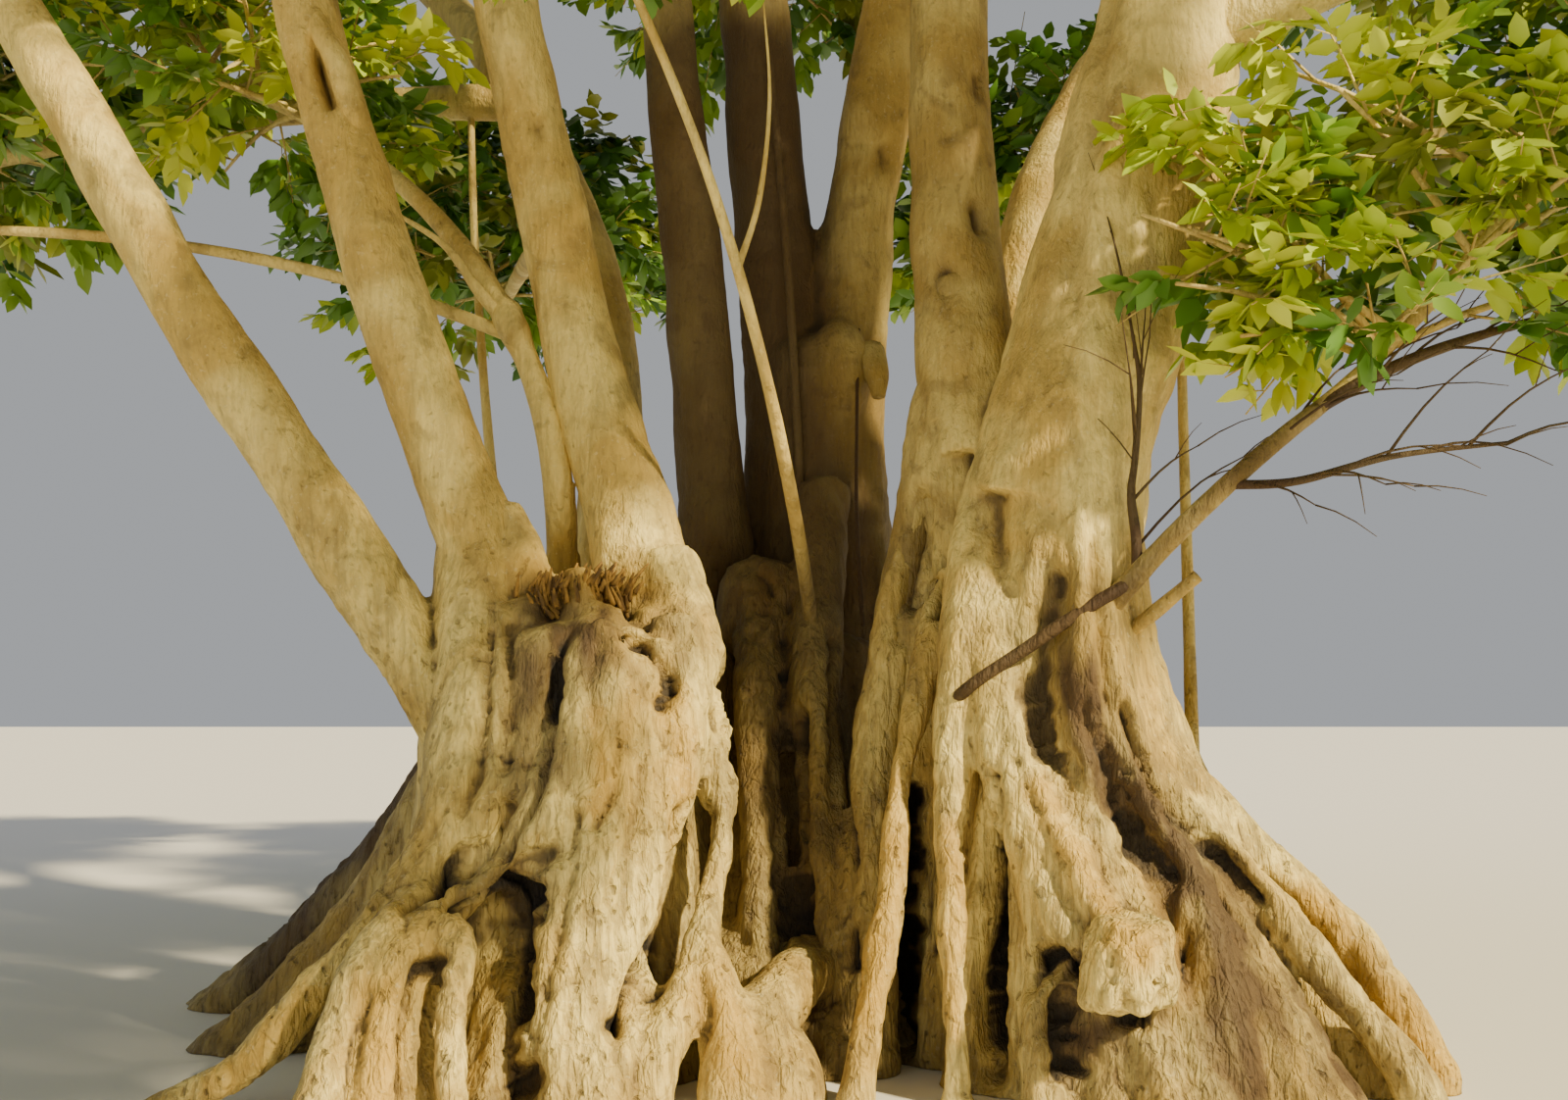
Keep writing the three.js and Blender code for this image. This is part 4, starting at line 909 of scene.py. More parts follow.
relief = {  # lumps and grain: height, size and seed; the other sizes are metres too
    "lumps": [(0.022, 0.4, 1), (0.01, 0.14, 2), (0.006, 0.06, 14)],
    "grain": [(0.017, (0.15, 0.15, 1.4), 5), (0.01, (0.06, 0.06, 0.5), 6)], "grainMiddle": 0.6,
    "wander": 0.09, "wanderSize": 0.5, "groundFade": 0.05, "crackSize": (0.2, 0.2, 1.1),
    "crackCrest": 0.94, "crackWidth": 0.06, "crackDepth": 0.012, "crackDark": 0.3, "pitSize": 0.08,
    "pitLevel": 0.45, "pitArea": 0.7, "pitAreaLevel": 0.1, "pitDepth": 0.16, "pitDark": 1.4,
    "jitterSize": 0.09, "fineJitter": 0.6, "fineJitterSize": 0.035, "markJitter": 0.02,
    "grooveJitter": 0.45, "brokenLumps": 0.04, "brokenSize": 0.12, "fineLumps": 0.03, "fineSize": 0.05,
    "brokenDark": 0.6, "nearRounds": 12, "wideRounds": 60, "creaseDepth": 0.016, "foldDepth": 0.05,
    "foldLevel": 0.15, "creaseShare": 0.45, "darkMost": 0.7, "hollowShare": 0.92, "shadeMost": 0.95,
    "low": (1.6, 0.5, 0.2), "patchy": 0.8, "patches": 0.5, "patchSize": (0.08, 0.08, 0.36), "areas": 0.3,
    "areaSize": 0.3, "patchLeast": 0.3,
}
weather = {  # rough, like low above: the value at the ground, its loss for a metre up, and the least
    "rough": (1.5, 0.45, 0.15), "damp": 0.26, "dampHeight": 0.4, "dampSize": 0.3, "dampLevel": 0.7,
    "routes": 0.84, "back": 0.2, "backFrom": 0.2, "backDepth": 1.5, "ochre": 0.5, "ochreSize": 0.5,
    "ochreLevel": 0.15,
}


def fading(spots, start, loss, least):  # from the ground up
    return np.clip(start - loss * spots[:, 2], least, 1)


def weathering(spots, hollow):  # the four marks that the bark reads: shade painted in hollows, warm ochre, painted shade with dirt near the ground, and rough bark
    low = fading(spots, *weather["rough"])
    damp = weather["damp"] * np.clip(1 - spots[:, 2] / weather["dampHeight"], 0, 1)
    soiled = damp * np.clip(weather["dampLevel"] + lumps(spots, weather["dampSize"], 18), 0, 1)
    # painted shade along the grey-brown limbs that the crown shades, and more towards the back, over a greyer
    # bark there
    shade = sum(nearRoute(spots, route, width) for route, width in shadedRoutes)
    behind = np.clip((spots[:, 1] + weather["backFrom"]) / weather["backDepth"], 0, 1)
    shade = weather["routes"] * np.clip(shade, 0, 1) + weather["back"] * behind + soiled
    ochre = np.clip(lumps(spots, weather["ochreSize"], 12) - weather["ochreLevel"], 0, 1)
    warm = weather["ochre"] * ochre * low
    return {"hollow": np.clip(hollow, 0, 1), "warm": warm, "shade": shade, "rough": low}


def carve(mesh, part):  # moves the skin along its normals: lumps, grain, cracks, pits and grooves; paints shade into its hollows
    spots = readRows(mesh.vertices, "co", 3).astype(float)
    normals = readRows(mesh.vertices, "normal", 3).astype(float)
    edges = readRows(mesh.edges, "vertices", 2, np.int32)
    ground = np.clip(spots[:, 2] / relief["groundFade"], 0, 1)
    low = fading(spots, *relief["low"])
    sway = [lumps(spots, relief["wanderSize"], seed) for seed in (3, 4)]
    wander = np.stack([*sway, 0 * spots[:, 0]], 1)
    upright = spots + relief["wander"] * wander
    move = sum(height * lumps(spots, size, seed) for height, size, seed in relief["lumps"])
    for height, size, seed in relief["grain"]:
        move += height * low * (ridges(upright, np.array(size), seed) - relief["grainMiddle"])
    crests = ridges(upright, np.array(relief["crackSize"]), 13)
    cracks = np.clip(crests - relief["crackCrest"], 0, 1) / relief["crackWidth"]
    pits = np.clip(lumps(spots, relief["pitSize"], 7) - relief["pitLevel"], 0, 1)
    pits *= np.clip(lumps(spots, relief["pitArea"], 8) - relief["pitAreaLevel"], 0, 1)
    move -= relief["pitDepth"] * low * pits + relief["crackDepth"] * low * cracks
    # painted shade in the pits and cracks
    dark = relief["pitDark"] * pits * low + relief["crackDark"] * cracks * low
    fine = relief["fineJitter"] * lumps(spots, relief["fineJitterSize"], 10)[:, None]
    jitter = lumps(spots, relief["jitterSize"], 9)[:, None] + fine + wander
    shaky = spots + relief["markJitter"] * jitter
    for route, width in rugged.get(part, ()):
        broken = nearRoute(spots, onFace(spots, route), width)
        small = lumps(spots, relief["fineSize"], 16)
        coarse = relief["brokenLumps"] * lumps(spots, relief["brokenSize"], 15)
        move += broken * (coarse + relief["fineLumps"] * small)
        # painted shade between the small lumps
        dark += relief["brokenDark"] * broken * np.clip(small + 0.5, -1, 0) ** 2
    for route, width, depth, darkness in grooves.get(part, ()):
        share = nearRoute(spots + relief["grooveJitter"] * width * jitter, onFace(spots, route), width)
        move -= depth * share
        # painted shade in the groove
        dark += 0.5 * darkness * share**3
    moved = spots + (move * ground)[:, None] * normals
    moved[:, 2] = np.maximum(moved[:, 2], 0)
    near = evened(moved, edges, relief["nearRounds"])
    wide = evened(near, edges, relief["wideRounds"])
    # creases and folds: painted shade in narrow and broad hollows of the skin
    creases = np.clip(((near - moved) * normals).sum(axis=1) / relief["creaseDepth"], 0, 1)
    folds = np.clip(((wide - moved) * normals).sum(axis=1) / relief["foldDepth"] - relief["foldLevel"], 0, 1)
    dark = np.clip(dark, 0, relief["darkMost"])
    hollow = relief["creaseShare"] * creases + relief["creaseShare"] * folds + dark
    marks = weathering(spots, relief["hollowShare"] * hollow * ground)
    for route, width in ochreMarks.get(part, ()):
        marks["warm"] += nearRoute(shaky, onFace(spots, route), width)
    # the painted shade of the brown marks, broken up in patches
    patches = relief["patches"] * lumps(upright, np.array(relief["patchSize"]), 17)
    areas = relief["areas"] * lumps(spots, relief["areaSize"], 19)
    patchy = np.clip(relief["patchy"] + patches + areas, relief["patchLeast"], 1)
    for route, width, strength in shadowMarks.get(part, ()):
        marks["shade"] += strength * patchy * nearRoute(shaky, onFace(spots, route), width)
    marks["warm"] = np.clip(marks["warm"], 0, 1)
    marks["shade"] = np.clip(marks["shade"], 0, relief["shadeMost"])
    if part == "right":
        moved = drawnIn(moved)
    mesh.vertices.foreach_set("co", moved.astype(np.float32).ravel())
    mesh.update()
    return marks


for part, columns in trunkColumns.items():
    shapes = [columnTube(row, seed + len(part)) for seed, row in enumerate(columns)]
    shapes += [stubTube(name) for name in trunkStubs.get(part, ())]
    shapes += [knobShape(*knob) for knob in knobs.get(part, ())]
    for route in frontRoots.get(part, {}).values():
        path = smoothRoute(route, carving["rootStep"])
        shapes.append(skinOf(ringsAlong(path[:, :3], path[:, 3], carving["rootSides"])))
    trunkMesh = remeshed(*joined(shapes), carving["voxel"][part])
    marks = carve(trunkMesh, part)
    trunkMesh.name = f"trunk_{part}"
    piece = finishPiece(bpy.data.objects.new(f"trunk_{part}", trunkMesh), "bark", barkSkin, "trunk")
    setMarks(piece, marks)
    print(piece.name, 2 * len(trunkMesh.polygons), "triangles")


# Stems, boughs and slim limbs


limbLook = {  # sides and rings, and sizes in metres
    "stem": (56, 190), "bough": (28, 70), "slim": (16, 60), "stemStart": -0.3, "firstSwell": 0.95,
    "closer": 1.25, "bendSize": 0.9, "bend": 0.16, "bendFade": 6, "bands": 160, "bandSwell": 0.02,
    "swell": 0.07, "swellSize": 0.3, "grain": 0.025, "grainSize": (0.06, 0.06, 0.25), "scarTilt": 0.25,
    "scarWidth": 0.012, "scarDepth": 0.02, "scarDark": 0.3, "bandDark": 0.6, "bandLevel": 0.16,
    "hollowShare": 0.85,
}
limbGrooves = {  # holes, slits and bulges on the front of a limb: route as x and z, width, depth and how much painted shade darkens it
    "stem_left_outer": [
        ([(-3.36, 4.2), (-3.34, 4.16)], 0.045, 0.03, 0.6),
        ([(-2.8, 3.36), (-2.78, 3.33)], 0.06, -0.015, 0.1),
        ([(-3.7, 4.85), (-3.66, 4.8)], 0.06, -0.02, 0.1),
    ],
    "stem_left": [
        ([(-2.33, 4.93), (-2.3, 4.8), (-2.25, 4.66)], 0.036, 0.14, 1.0),
        ([(-2.05, 4.0), (-2.0, 3.92)], 0.08, -0.02, 0.1),
    ],
    "stem_slender": [
        ([(-1.46, 3.72), (-1.42, 3.66)], 0.09, -0.05, 0.2), ([(-1.5, 3.5), (-1.5, 3.46)], 0.06, -0.03, 0.3),
        ([(-1.4, 3.86), (-1.4, 3.82)], 0.06, -0.03, 0.4),
    ],
    "stem_mid_left": [
        ([(-1.3, 4.7), (-1.28, 4.66)], 0.05, 0.03, 0.7), ([(-1.12, 4.12), (-1.1, 4.06)], 0.05, 0.02, 0.5),
        ([(-1.45, 5.2), (-1.42, 5.12)], 0.1, -0.035, 0.0),
    ],
    "stem_mid_right": [
        ([(0.8, 3.86), (0.82, 3.8)], 0.05, 0.07, 1.0), ([(1.0, 4.2), (1.02, 4.12)], 0.06, 0.08, 1.0),
        ([(1.03, 4.94), (1.04, 4.86)], 0.045, 0.05, 0.9), ([(0.9, 3.5), (0.88, 3.42)], 0.09, -0.02, 0.3),
    ],
    "stem_main_right": [
        ([(1.24, 3.2), (1.36, 3.8), (1.48, 4.5), (1.58, 5.2)], 0.06, 0.05, 0.45),
        ([(1.62, 3.4), (1.72, 4.0), (1.82, 4.7)], 0.05, 0.02, 0.2),
        ([(1.7, 4.46), (1.72, 4.36)], 0.08, -0.025, 0.1),
        ([(1.3, 3.74), (1.3, 3.66)], 0.09, -0.02, 0.2), ([(1.55, 3.34), (1.56, 3.28)], 0.05, 0.02, 0.4),
    ],
    "stem_centre": [([(-0.02, 4.96), (0.0, 4.86)], 0.12, -0.05, 0.2)],
    "stem_centre_fork": [
        ([(0.6, 5.04), (0.62, 4.96)], 0.06, 0.05, 0.8), ([(0.44, 5.3), (0.44, 5.24)], 0.1, -0.04, 0.1),
    ],
}
ringScars = {  # heights of the dark rings round a stem
    "stem_mid_left": (4.76, 4.52, 3.67, 3.09), "stem_left_outer": (4.6, 4.35, 3.9, 3.1),
    "stem_left": (4.3, 3.9, 3.2), "stem_main_right": (4.9, 4.0),
}


def limbSkin(name, around, count, start, firstSwell=1.0):  # rings with lumps, bands, scars, knots, holes
    curve, radii, _ = limbs[name]
    length = np.linalg.norm(np.diff(curveAt(curve, np.linspace(0, 1, 60)), axis=0), axis=1).sum()
    share = start + (1 - start) * np.linspace(0, 1, count) ** limbLook["closer"]
    path = curveAt(curve, share)
    seed = list(limbs).index(name)
    radius = radii[0] + (radii[1] - radii[0]) * np.maximum(share, 0)
    radius *= 1 - (1 - firstSwell) * np.clip(-share / max(-start, 1e-6), 0, 1)
    bends = [lumps(path, limbLook["bendSize"], first + seed) for first in (20, 50)]
    bend = np.stack([*bends, 0 * share], 1)
    fade = limbLook["bendFade"]
    bendReach = limbLook["bend"] * radius * np.clip(share * fade, 0, 1) * np.clip((1 - share) * fade, 0, 1)
    path = path + bend * bendReach[:, None]
    spots = ringsAlong(path, radius, around)
    run = share * length
    middle = path[:, None]
    outward = spots - middle
    flat = spots.reshape(-1, 3)
    steps = limbLook["bands"]
    bands = np.interp(run, np.linspace(-1, length, steps), seeded(seed, np.arange(steps), 3) - 0.5)
    swell = limbLook["swell"] * lumps(flat, limbLook["swellSize"], 60).reshape(len(share), around)
    swell = swell + limbLook["bandSwell"] * bands[:, None]
    swell += limbLook["grain"] * lumps(flat, np.array(limbLook["grainSize"]), 61).reshape(len(share), around)
    scar = np.zeros(spots.shape[:2])
    for height in ringScars.get(name, ()):
        level = spots[..., 2] - height + limbLook["scarTilt"] * (spots[..., 0] - middle[..., 0])
        scar += np.exp(-((level / limbLook["scarWidth"]) ** 2))
    swell -= limbLook["scarDepth"] * scar
    flat = (middle + outward * (1 + swell)[..., None]).reshape(-1, 3)
    # the limb's hollow shade: the dim of the random bands and the dark of the ring scars
    dim = np.clip(limbLook["bandDark"] * bands - limbLook["bandLevel"], 0, 1)
    hollow = (dim[:, None] + limbLook["scarDark"] * scar).ravel()
    way = unit(outward).reshape(-1, 3)
    for route, width, depth, darkness in limbGrooves.get(name, ()):
        bell = nearRoute(flat, onFace(flat, route), width)
        flat = flat - (depth * bell)[:, None] * way
        # painted shade on the hole, slit or knot
        hollow += darkness * bell**1.5
    if name == "stem_main_right":
        flat = drawnIn(flat)
    verts, faces = skinOf(flat.reshape(spots.shape))
    return verts, faces, weathering(verts, np.append(limbLook["hollowShare"] * hollow, [0, 0]))


for name, (curve, radii, mass) in limbs.items():
    if name in stems:
        length = np.linalg.norm(curve[2] - curve[0])
        made = limbSkin(name, *limbLook["stem"], limbLook["stemStart"] / length, limbLook["firstSwell"])
    else:
        made = limbSkin(name, *limbLook["bough" if name in boughs else "slim"], 0.0)
    verts, faces, marks = made
    piece = meshPiece(name, verts, faces, "bark", barkSkin, name)
    setMarks(piece, marks)
print("limbs skinned:", len(limbs))


# Small branches, hanging roots and torn fibres that the trunk and limbs carry


sideBranches = {  # routes: x, y, z and radius
    "across": [
        (0.72, -1.25, 1.62, 0.032), (0.83, -1.42, 1.75, 0.029), (1.05, -1.49, 1.9, 0.028),
        (1.24, -1.53, 2.03, 0.028),
        (1.42, -1.53, 2.14, 0.03), (1.55, -1.52, 2.21, 0.032),
    ],
    "upright": [
        (1.56, -1.53, 2.24, 0.026), (1.56, -1.53, 2.4, 0.023), (1.545, -1.52, 2.6, 0.019),
        (1.57, -1.51, 2.77, 0.016),
        (1.6, -1.5, 3.1, 0.012), (1.57, -1.48, 3.4, 0.006),
    ],
    "to_the_right": [
        (2.06, -1.67, 2.735, 0.028), (2.34, -1.62, 2.955, 0.031), (2.76, -1.6, 3.18, 0.026),
        (3.3, -1.5, 3.37, 0.019),
        (3.9, -1.4, 3.52, 0.01),
    ],
    "forked_over": [
        (1.9, -1.65, 2.62, 0.022), (2.2, -1.75, 2.62, 0.018), (2.6, -1.8, 2.72, 0.014),
        (3.1, -1.8, 2.78, 0.008),
    ],
    "sawn_stub": [(1.5, -1.33, 1.95, 0.034), (1.62, -1.44, 2.05, 0.032), (1.82, -1.56, 2.23, 0.03)],
    "shoot_fork": [
        (-0.23, -1.05, 3.75, 0.019), (-0.12, -1.1, 4.1, 0.014), (-0.07, -1.1, 4.6, 0.009),
        (-0.1, -1.1, 5.1, 0.004),
    ],
    "thin_root": [
        (0.44, 0.62, 3.9, 0.012), (0.42, 0.4, 3.4, 0.01), (0.4, 0.1, 2.7, 0.01), (0.42, -0.1, 2.1, 0.012),
    ],
    "second_strand": [
        (-2.42, -0.84, 5.28, 0.05), (-2.33, -0.93, 5.05, 0.055), (-2.22, -0.97, 4.84, 0.058),
        (-2.15, -0.92, 4.6, 0.06), (-2.14, -0.84, 4.4, 0.05),
    ],
    "slender_fork": [
        (-1.44, -0.3, 3.66, 0.045), (-1.62, -0.34, 3.86, 0.03), (-1.8, -0.36, 4.1, 0.02),
        (-2.1, -0.36, 4.3, 0.01),
    ],
    "fallen_stub": [
        (0.5, 0.62, 3.75, 0.1), (0.54, 0.5, 3.6, 0.075), (0.55, 0.46, 3.46, 0.04),
    ],
}
# the branches listed under dark take painted shade: a brown that stands for the shadow they lie in
branchLook = {
    "dark": ("across", "upright", "to_the_right", "forked_over", "thin_root"), "darkShade": 0.95,
    "step": 0.03, "sides": 12, "swell": 0.12, "swellSize": 0.12,
}
bareTwigs = {  # shoots on stretches of some branches, and shoots on those; rule: count, start, turn, length
    "on": ("to_the_right", "forked_over", "upright"), "stretch": 0.3,
    "first": {
        "rule": (2, 0.1, 0.9, 0.5), "radii": (0.008, 0.003), "arch": 0.08, "sides": 5, "rings": 6,
        "level": 4,
    },
    "second": {
        "rule": (2, 0.3, 0.7, 0.28), "radii": (0.004, 0.0015), "arch": 0.06, "sides": 4, "rings": 4,
        "level": 5,
    },
}
rimFibres = {
    "route": [
        (-1.3, -0.86, 2.22), (-1.16, -0.94, 2.2), (-1.02, -0.94, 2.22), (-0.9, -0.86, 2.24),
        (-0.78, -0.8, 2.2),
    ],
    "count": 380, "tall": (0.07, 0.17), "lean": 1.6, "spread": (0.16, 0.224, 0.16), "sunk": 0.06,
    "radii": (0.015, 0.005), "arch": 0.05,
}


shoots = {"swing": 0.5, "roll": 2.4, "rise": 0.35, "riseMiddle": 0.55, "shortest": 0.7, "more": 0.6}


def sideShoots(roots, tips, arch, ids, count, first, turn, length, seed, level):
    # Each parent, arched from root to tip, carries `count` shoots from share `first` on. They swing to the
    # left and right in turn, rolled about the parent, and their length varies by a third.
    ahead = unit(tips - roots)[:, None]
    flat = unit(np.stack([-ahead[..., 1], ahead[..., 0], 0 * ahead[..., 0]], -1))
    lift = np.cross(ahead, flat)
    j = np.arange(count)[None]
    k = ids[:, None]
    share = first + (1 - first) * (j + 1) / count
    swing = turn * np.where(j == count - 1, 0, np.where(j % 2, 1, -1))
    swing = swing + shoots["swing"] * (seeded(seed, k, 10 * level + j) - 0.5)
    roll = shoots["roll"] * (seeded(seed, k, 20 * level + j) - 0.5)
    side = flat * np.cos(roll)[..., None] + lift * np.sin(roll)[..., None]
    along = ahead * np.cos(swing)[..., None] + side * np.sin(swing)[..., None]
    along[..., 2] += shoots["rise"] * (seeded(seed, k, 30 * level + j) - shoots["riseMiddle"])
    rise = arch * np.sin(math.pi * share) * np.linalg.norm(tips - roots, axis=1)[:, None]
    root = roots[:, None] + (tips - roots)[:, None] * share[..., None] + rise[..., None] * up
    reach = length * (shoots["shortest"] + shoots["more"] * seeded(seed, k, 40 * level + j))
    tip = root + unit(along) * reach[..., None]
    return root.reshape(-1, 3), tip.reshape(-1, 3), (k * count + j).ravel()


def spikes(roots, tips, radius):  # three-sided cones, each closed at its foot
    ahead = unit(tips - roots)
    side = unit(np.cross(ahead, up + 0.01))
    front = np.cross(ahead, side)
    thirds = (0, 2.0944, 4.1888)
    ring = [roots + radius * (math.cos(a) * side + math.sin(a) * front) for a in thirds]
    verts = np.stack([*ring, tips], 1).reshape(-1, 3)
    faces = np.array([(0, 1, 3), (1, 2, 3), (2, 0, 3), (2, 1, 0)])
    return verts, (np.arange(len(roots))[:, None, None] * 4 + faces).reshape(-1, 3)


def twigTubes(roots, tips, radii, arch, sides, rings):  # bundles of arched, tapering tubes closed to a point
    share = np.linspace(0, 1, rings)
    rise = np.sin(math.pi * share)[None, :, None] * arch * np.linalg.norm(tips - roots, axis=1)[:, None, None]
    path = roots[:, None] + (tips - roots)[:, None] * share[None, :, None] + rise * up
    ahead = unit(tips - roots)
    side = unit(np.cross(ahead, up + 0.01))[:, None, None]
    front = np.cross(ahead[:, None, None], side)
    angle = np.linspace(0, 2 * math.pi, sides, endpoint=False)
    across = np.cos(angle)[:, None] * side + np.sin(angle)[:, None] * front
    radius = (radii[0] + (radii[1] - radii[0]) * share)[None, :, None, None]
    ringSpots = path[:, :, None] + radius * across
    count = len(roots)
    verts = np.concatenate([ringSpots.reshape(count, -1, 3), path[:, [0, -1]]], 1)
    _, faces = skinOf(np.zeros((rings, sides, 3)))
    per = rings * sides + 2
    return verts.reshape(-1, 3), (np.arange(count)[:, None, None] * per + faces).reshape(-1, 3)


fibreLook = {
    "dark": "#5b4424", "pale": "#a5803c", "roughness": 0.9,
    "scale": 26.0, "detail": 5.0, "stretch": (1, 1, 0.2), "fade": (0.35, 0.65),
}


def fibreMaterial():  # torn ochre wood: streaks along the fibres
    shade = Shade("torn_fibre", fibreLook["roughness"])
    coords = Wire(shade, shade.node("TexCoord").outputs["Object"])
    streaks = shade.noise(coords, fibreLook["scale"], fibreLook["detail"], fibreLook["stretch"])
    mixed = shade.between(streaks, *fibreLook["fade"])
    tone = shade.blend(mixed, colour(fibreLook["dark"]), colour(fibreLook["pale"]))
    shade.feed(shade.skin.inputs["Base Color"], tone)
    return shade.material


def branchPiece(name, parts, shaded):
    verts, faces = joined(parts)
    piece = meshPiece(name, verts, faces, "bark", barkSkin)
    marks = weathering(verts, np.zeros(len(verts)))
    marks["shade"] = np.clip(marks["shade"] + shaded, 0, 1)
    setMarks(piece, marks)


branchParts = {"side_branches": [], "shaded_branches": []}
for name, route in sideBranches.items():
    path = smoothRoute(route, branchLook["step"])
    swell = 1 + branchLook["swell"] * lumps(path[:, :3], branchLook["swellSize"], 33)
    kind = "shaded_branches" if name in branchLook["dark"] else "side_branches"
    branchParts[kind].append(skinOf(ringsAlong(path[:, :3], path[:, 3] * swell, branchLook["sides"])))
for index, name in enumerate(bareTwigs["on"]):
    path = smoothRoute(sideBranches[name], bareTwigs["stretch"])[:, :3]
    roots, tips, ids, parentArch = path[:-1], path[1:], np.arange(len(path) - 1), 0.0
    for twig in (bareTwigs["first"], bareTwigs["second"]):
        roots, tips, ids = sideShoots(roots, tips, parentArch, ids, *twig["rule"], index, twig["level"])
        parentArch = twig["arch"]
        tubes = twigTubes(roots, tips, twig["radii"], parentArch, twig["sides"], twig["rings"])
        branchParts["shaded_branches"].append(tubes)
branchPiece("side_branches", branchParts["side_branches"], 0.0)
branchPiece("shaded_branches", branchParts["shaded_branches"], branchLook["darkShade"])

rim = smoothRoute(rimFibres["route"], 0.01)
which = np.arange(rimFibres["count"])
draws = np.stack([seeded(which, 2, j) for j in range(6)], 1)
foot = rim[(draws[:, 0] * (len(rim) - 1)).astype(int)]
foot = foot + np.array(rimFibres["spread"]) * (draws[:, 1:4] - 0.5) - rimFibres["sunk"] * up
lean = rimFibres["lean"] * np.stack([draws[:, 3] - 0.5, draws[:, 4] - 0.6, 0 * draws[:, 0]], 1) + up
low, high = rimFibres["tall"]
tip = foot + unit(lean) * (low + (high - low) * draws[:, 5:] ** 2)
verts, faces = twigTubes(foot, tip, rimFibres["radii"], rimFibres["arch"], 5, 5)
meshPiece("rim_fibres", verts, faces, "bark", fibreMaterial())
print("small branches:", len(sideBranches), "and", rimFibres["count"], "fibres")


# Foliage: each mass's stem, twigs, sprigs, twiglets and leaves, by the source's rule


# Counts: twigs on the mass's stem, sprigs on a twig, twiglets on a sprig, leaves on a twiglet. A rule: where
# the first shoot stands on its parent, its turn, and its length as a share of the mass's size.
foliage = {
    "crown": {"counts": (14, 8, 5, 10), "leaf": 0.23, "reach": 0.66},
    "low": {"counts": (12, 7, 5, 8), "leaf": 0.17, "reach": 0.76},
    "twig": {"radii": (0.022, 0.01), "arch": 0.06}, "sprig": {"radii": (0.009, 0.004), "arch": 0.04},
    "twigletRadius": 0.004,
    "sprigRule": (0.12, 0.95, 0.42), "twigletRule": (0.1, 0.8, 0.17), "leafRule": (0.05, 0.9, 1.0),
    "stemEnd": 0.03, "stemSides": 8, "stemRings": 9, "stemKnee": 0.4, "stemTip": (0.3, 0.15),
    "aim": (0.95, 1.6), "starts": (0.95, 0.75), "hangingStart": 0.35, "droop": 0.3, "facingSway": 0.6,
    "leafWidth": 0.64, "leafSizes": (0.75, 0.5), "clearance": 0.04, "cellClearance": 0.03, "boxMargin": 0.2,
}
hangingTwigs = {  # more twigs of a mass: their directions, as shares of its half sizes
    "low_right": [(-1.05, -0.45, -0.1), (-0.95, -0.5, -0.5), (-0.75, -0.55, -0.8), (-0.9, -0.35, 0.35)],
}
leafColours = {  # hex colour, and how often it is dealt in the crown and in the low masses
    "leaves_bright": ("#abc02e", 0.13, 0.36),
    "leaves_lime": ("#c4d03e", 0.05, 0.3),
    "leaves_fresh": ("#85a82c", 0.2, 0.18),
    "leaves_green": ("#5d8a2a", 0.26, 0.1),
    "leaves_deep": ("#406b20", 0.24, 0.0),
    "leaves_olive": ("#8a932e", 0.12, 0.06),
}
leafRoughness = 0.5
limbSpots = []
limbReach = []
for curve, radii, _ in limbs.values():
    share = np.linspace(0, 1, 60)
    limbSpots.append(curveAt(curve, share))
    limbReach.append(radii[0] + (radii[1] - radii[0]) * share)
for row in [row for columns in trunkColumns.values() for row in columns]:
    down = np.linspace(0, 1, 12)
    lean = np.array([row[4] - row[0], row[5] - row[1]])
    level = np.array(row[:2]) + lean * (down ** row[8])[:, None]
    limbSpots.append(np.column_stack([level, row[2] + (row[9] - row[2]) * down]))
    limbReach.append(row[3] + (row[6] - row[3]) * down ** carving["columnFlare"])
limbSpots = np.concatenate(limbSpots)
limbReach = np.concatenate(limbReach)


def insideOwnSpace(spots, name):  # the mass's ellipsoid, and the planes towards its neighbours
    centre, reach, _ = masses[name]
    offset = spots - centre
    inside = ((offset / reach) ** 2).sum(axis=-1) <= 1
    for other, (otherCentre, otherReach, _) in masses.items():
        if other == name:
            continue
        apart = otherCentre - centre
        gap = np.linalg.norm(apart)
        share = (gap**2 + reach[0] ** 2 - otherReach[0] ** 2) / (2 * gap)
        inside &= offset @ apart / gap <= share - foliage["cellClearance"]
    return inside


def insideBox(spots):  # no further out than the solids reach, and a little more
    low, high = np.array(cadBox[0]), np.array(cadBox[1])
    return ((spots > low - foliage["boxMargin"]) & (spots < high + foliage["boxMargin"])).all(axis=-1)


def clearOfLimbs(spots, name):
    centre, reach, _ = masses[name]
    near = np.linalg.norm(limbSpots - centre, axis=1) < reach.max() + 1
    if not near.any():
        return np.ones(len(spots), bool)
    gaps = np.linalg.norm(spots[:, None] - limbSpots[near][None], axis=-1) - limbReach[near]
    return gaps.min(axis=1) > foliage["clearance"]


leafOutline = np.array([  # forward, across and up, as shares of the length, half width and length
    (0, 0, 0), (0.26, -0.86, 0.02), (0.66, -0.72, 0.0), (1, 0, -0.1),
    (0.66, 0.72, 0.0), (0.26, 0.86, 0.02), (0.46, 0, -0.09),
])
leafFaces = np.array([(0, 1, 6), (1, 2, 6), (2, 3, 6), (3, 4, 6), (4, 5, 6), (5, 0, 6)])


def leafBlades(roots, along, facing, length):  # folded ovate blades round a sunk midrib
    side = unit(np.cross(along, facing))
    face = np.cross(side, along)
    width = foliage["leafWidth"] / 2
    forward, across, lift = leafOutline[:, 0], leafOutline[:, 1] * width, leafOutline[:, 2]
    spots = roots[:, None] + length[:, None, None] * (
        forward[:, None] * along[:, None] + across[:, None] * side[:, None] + lift[:, None] * face[:, None]
    )
    return spots


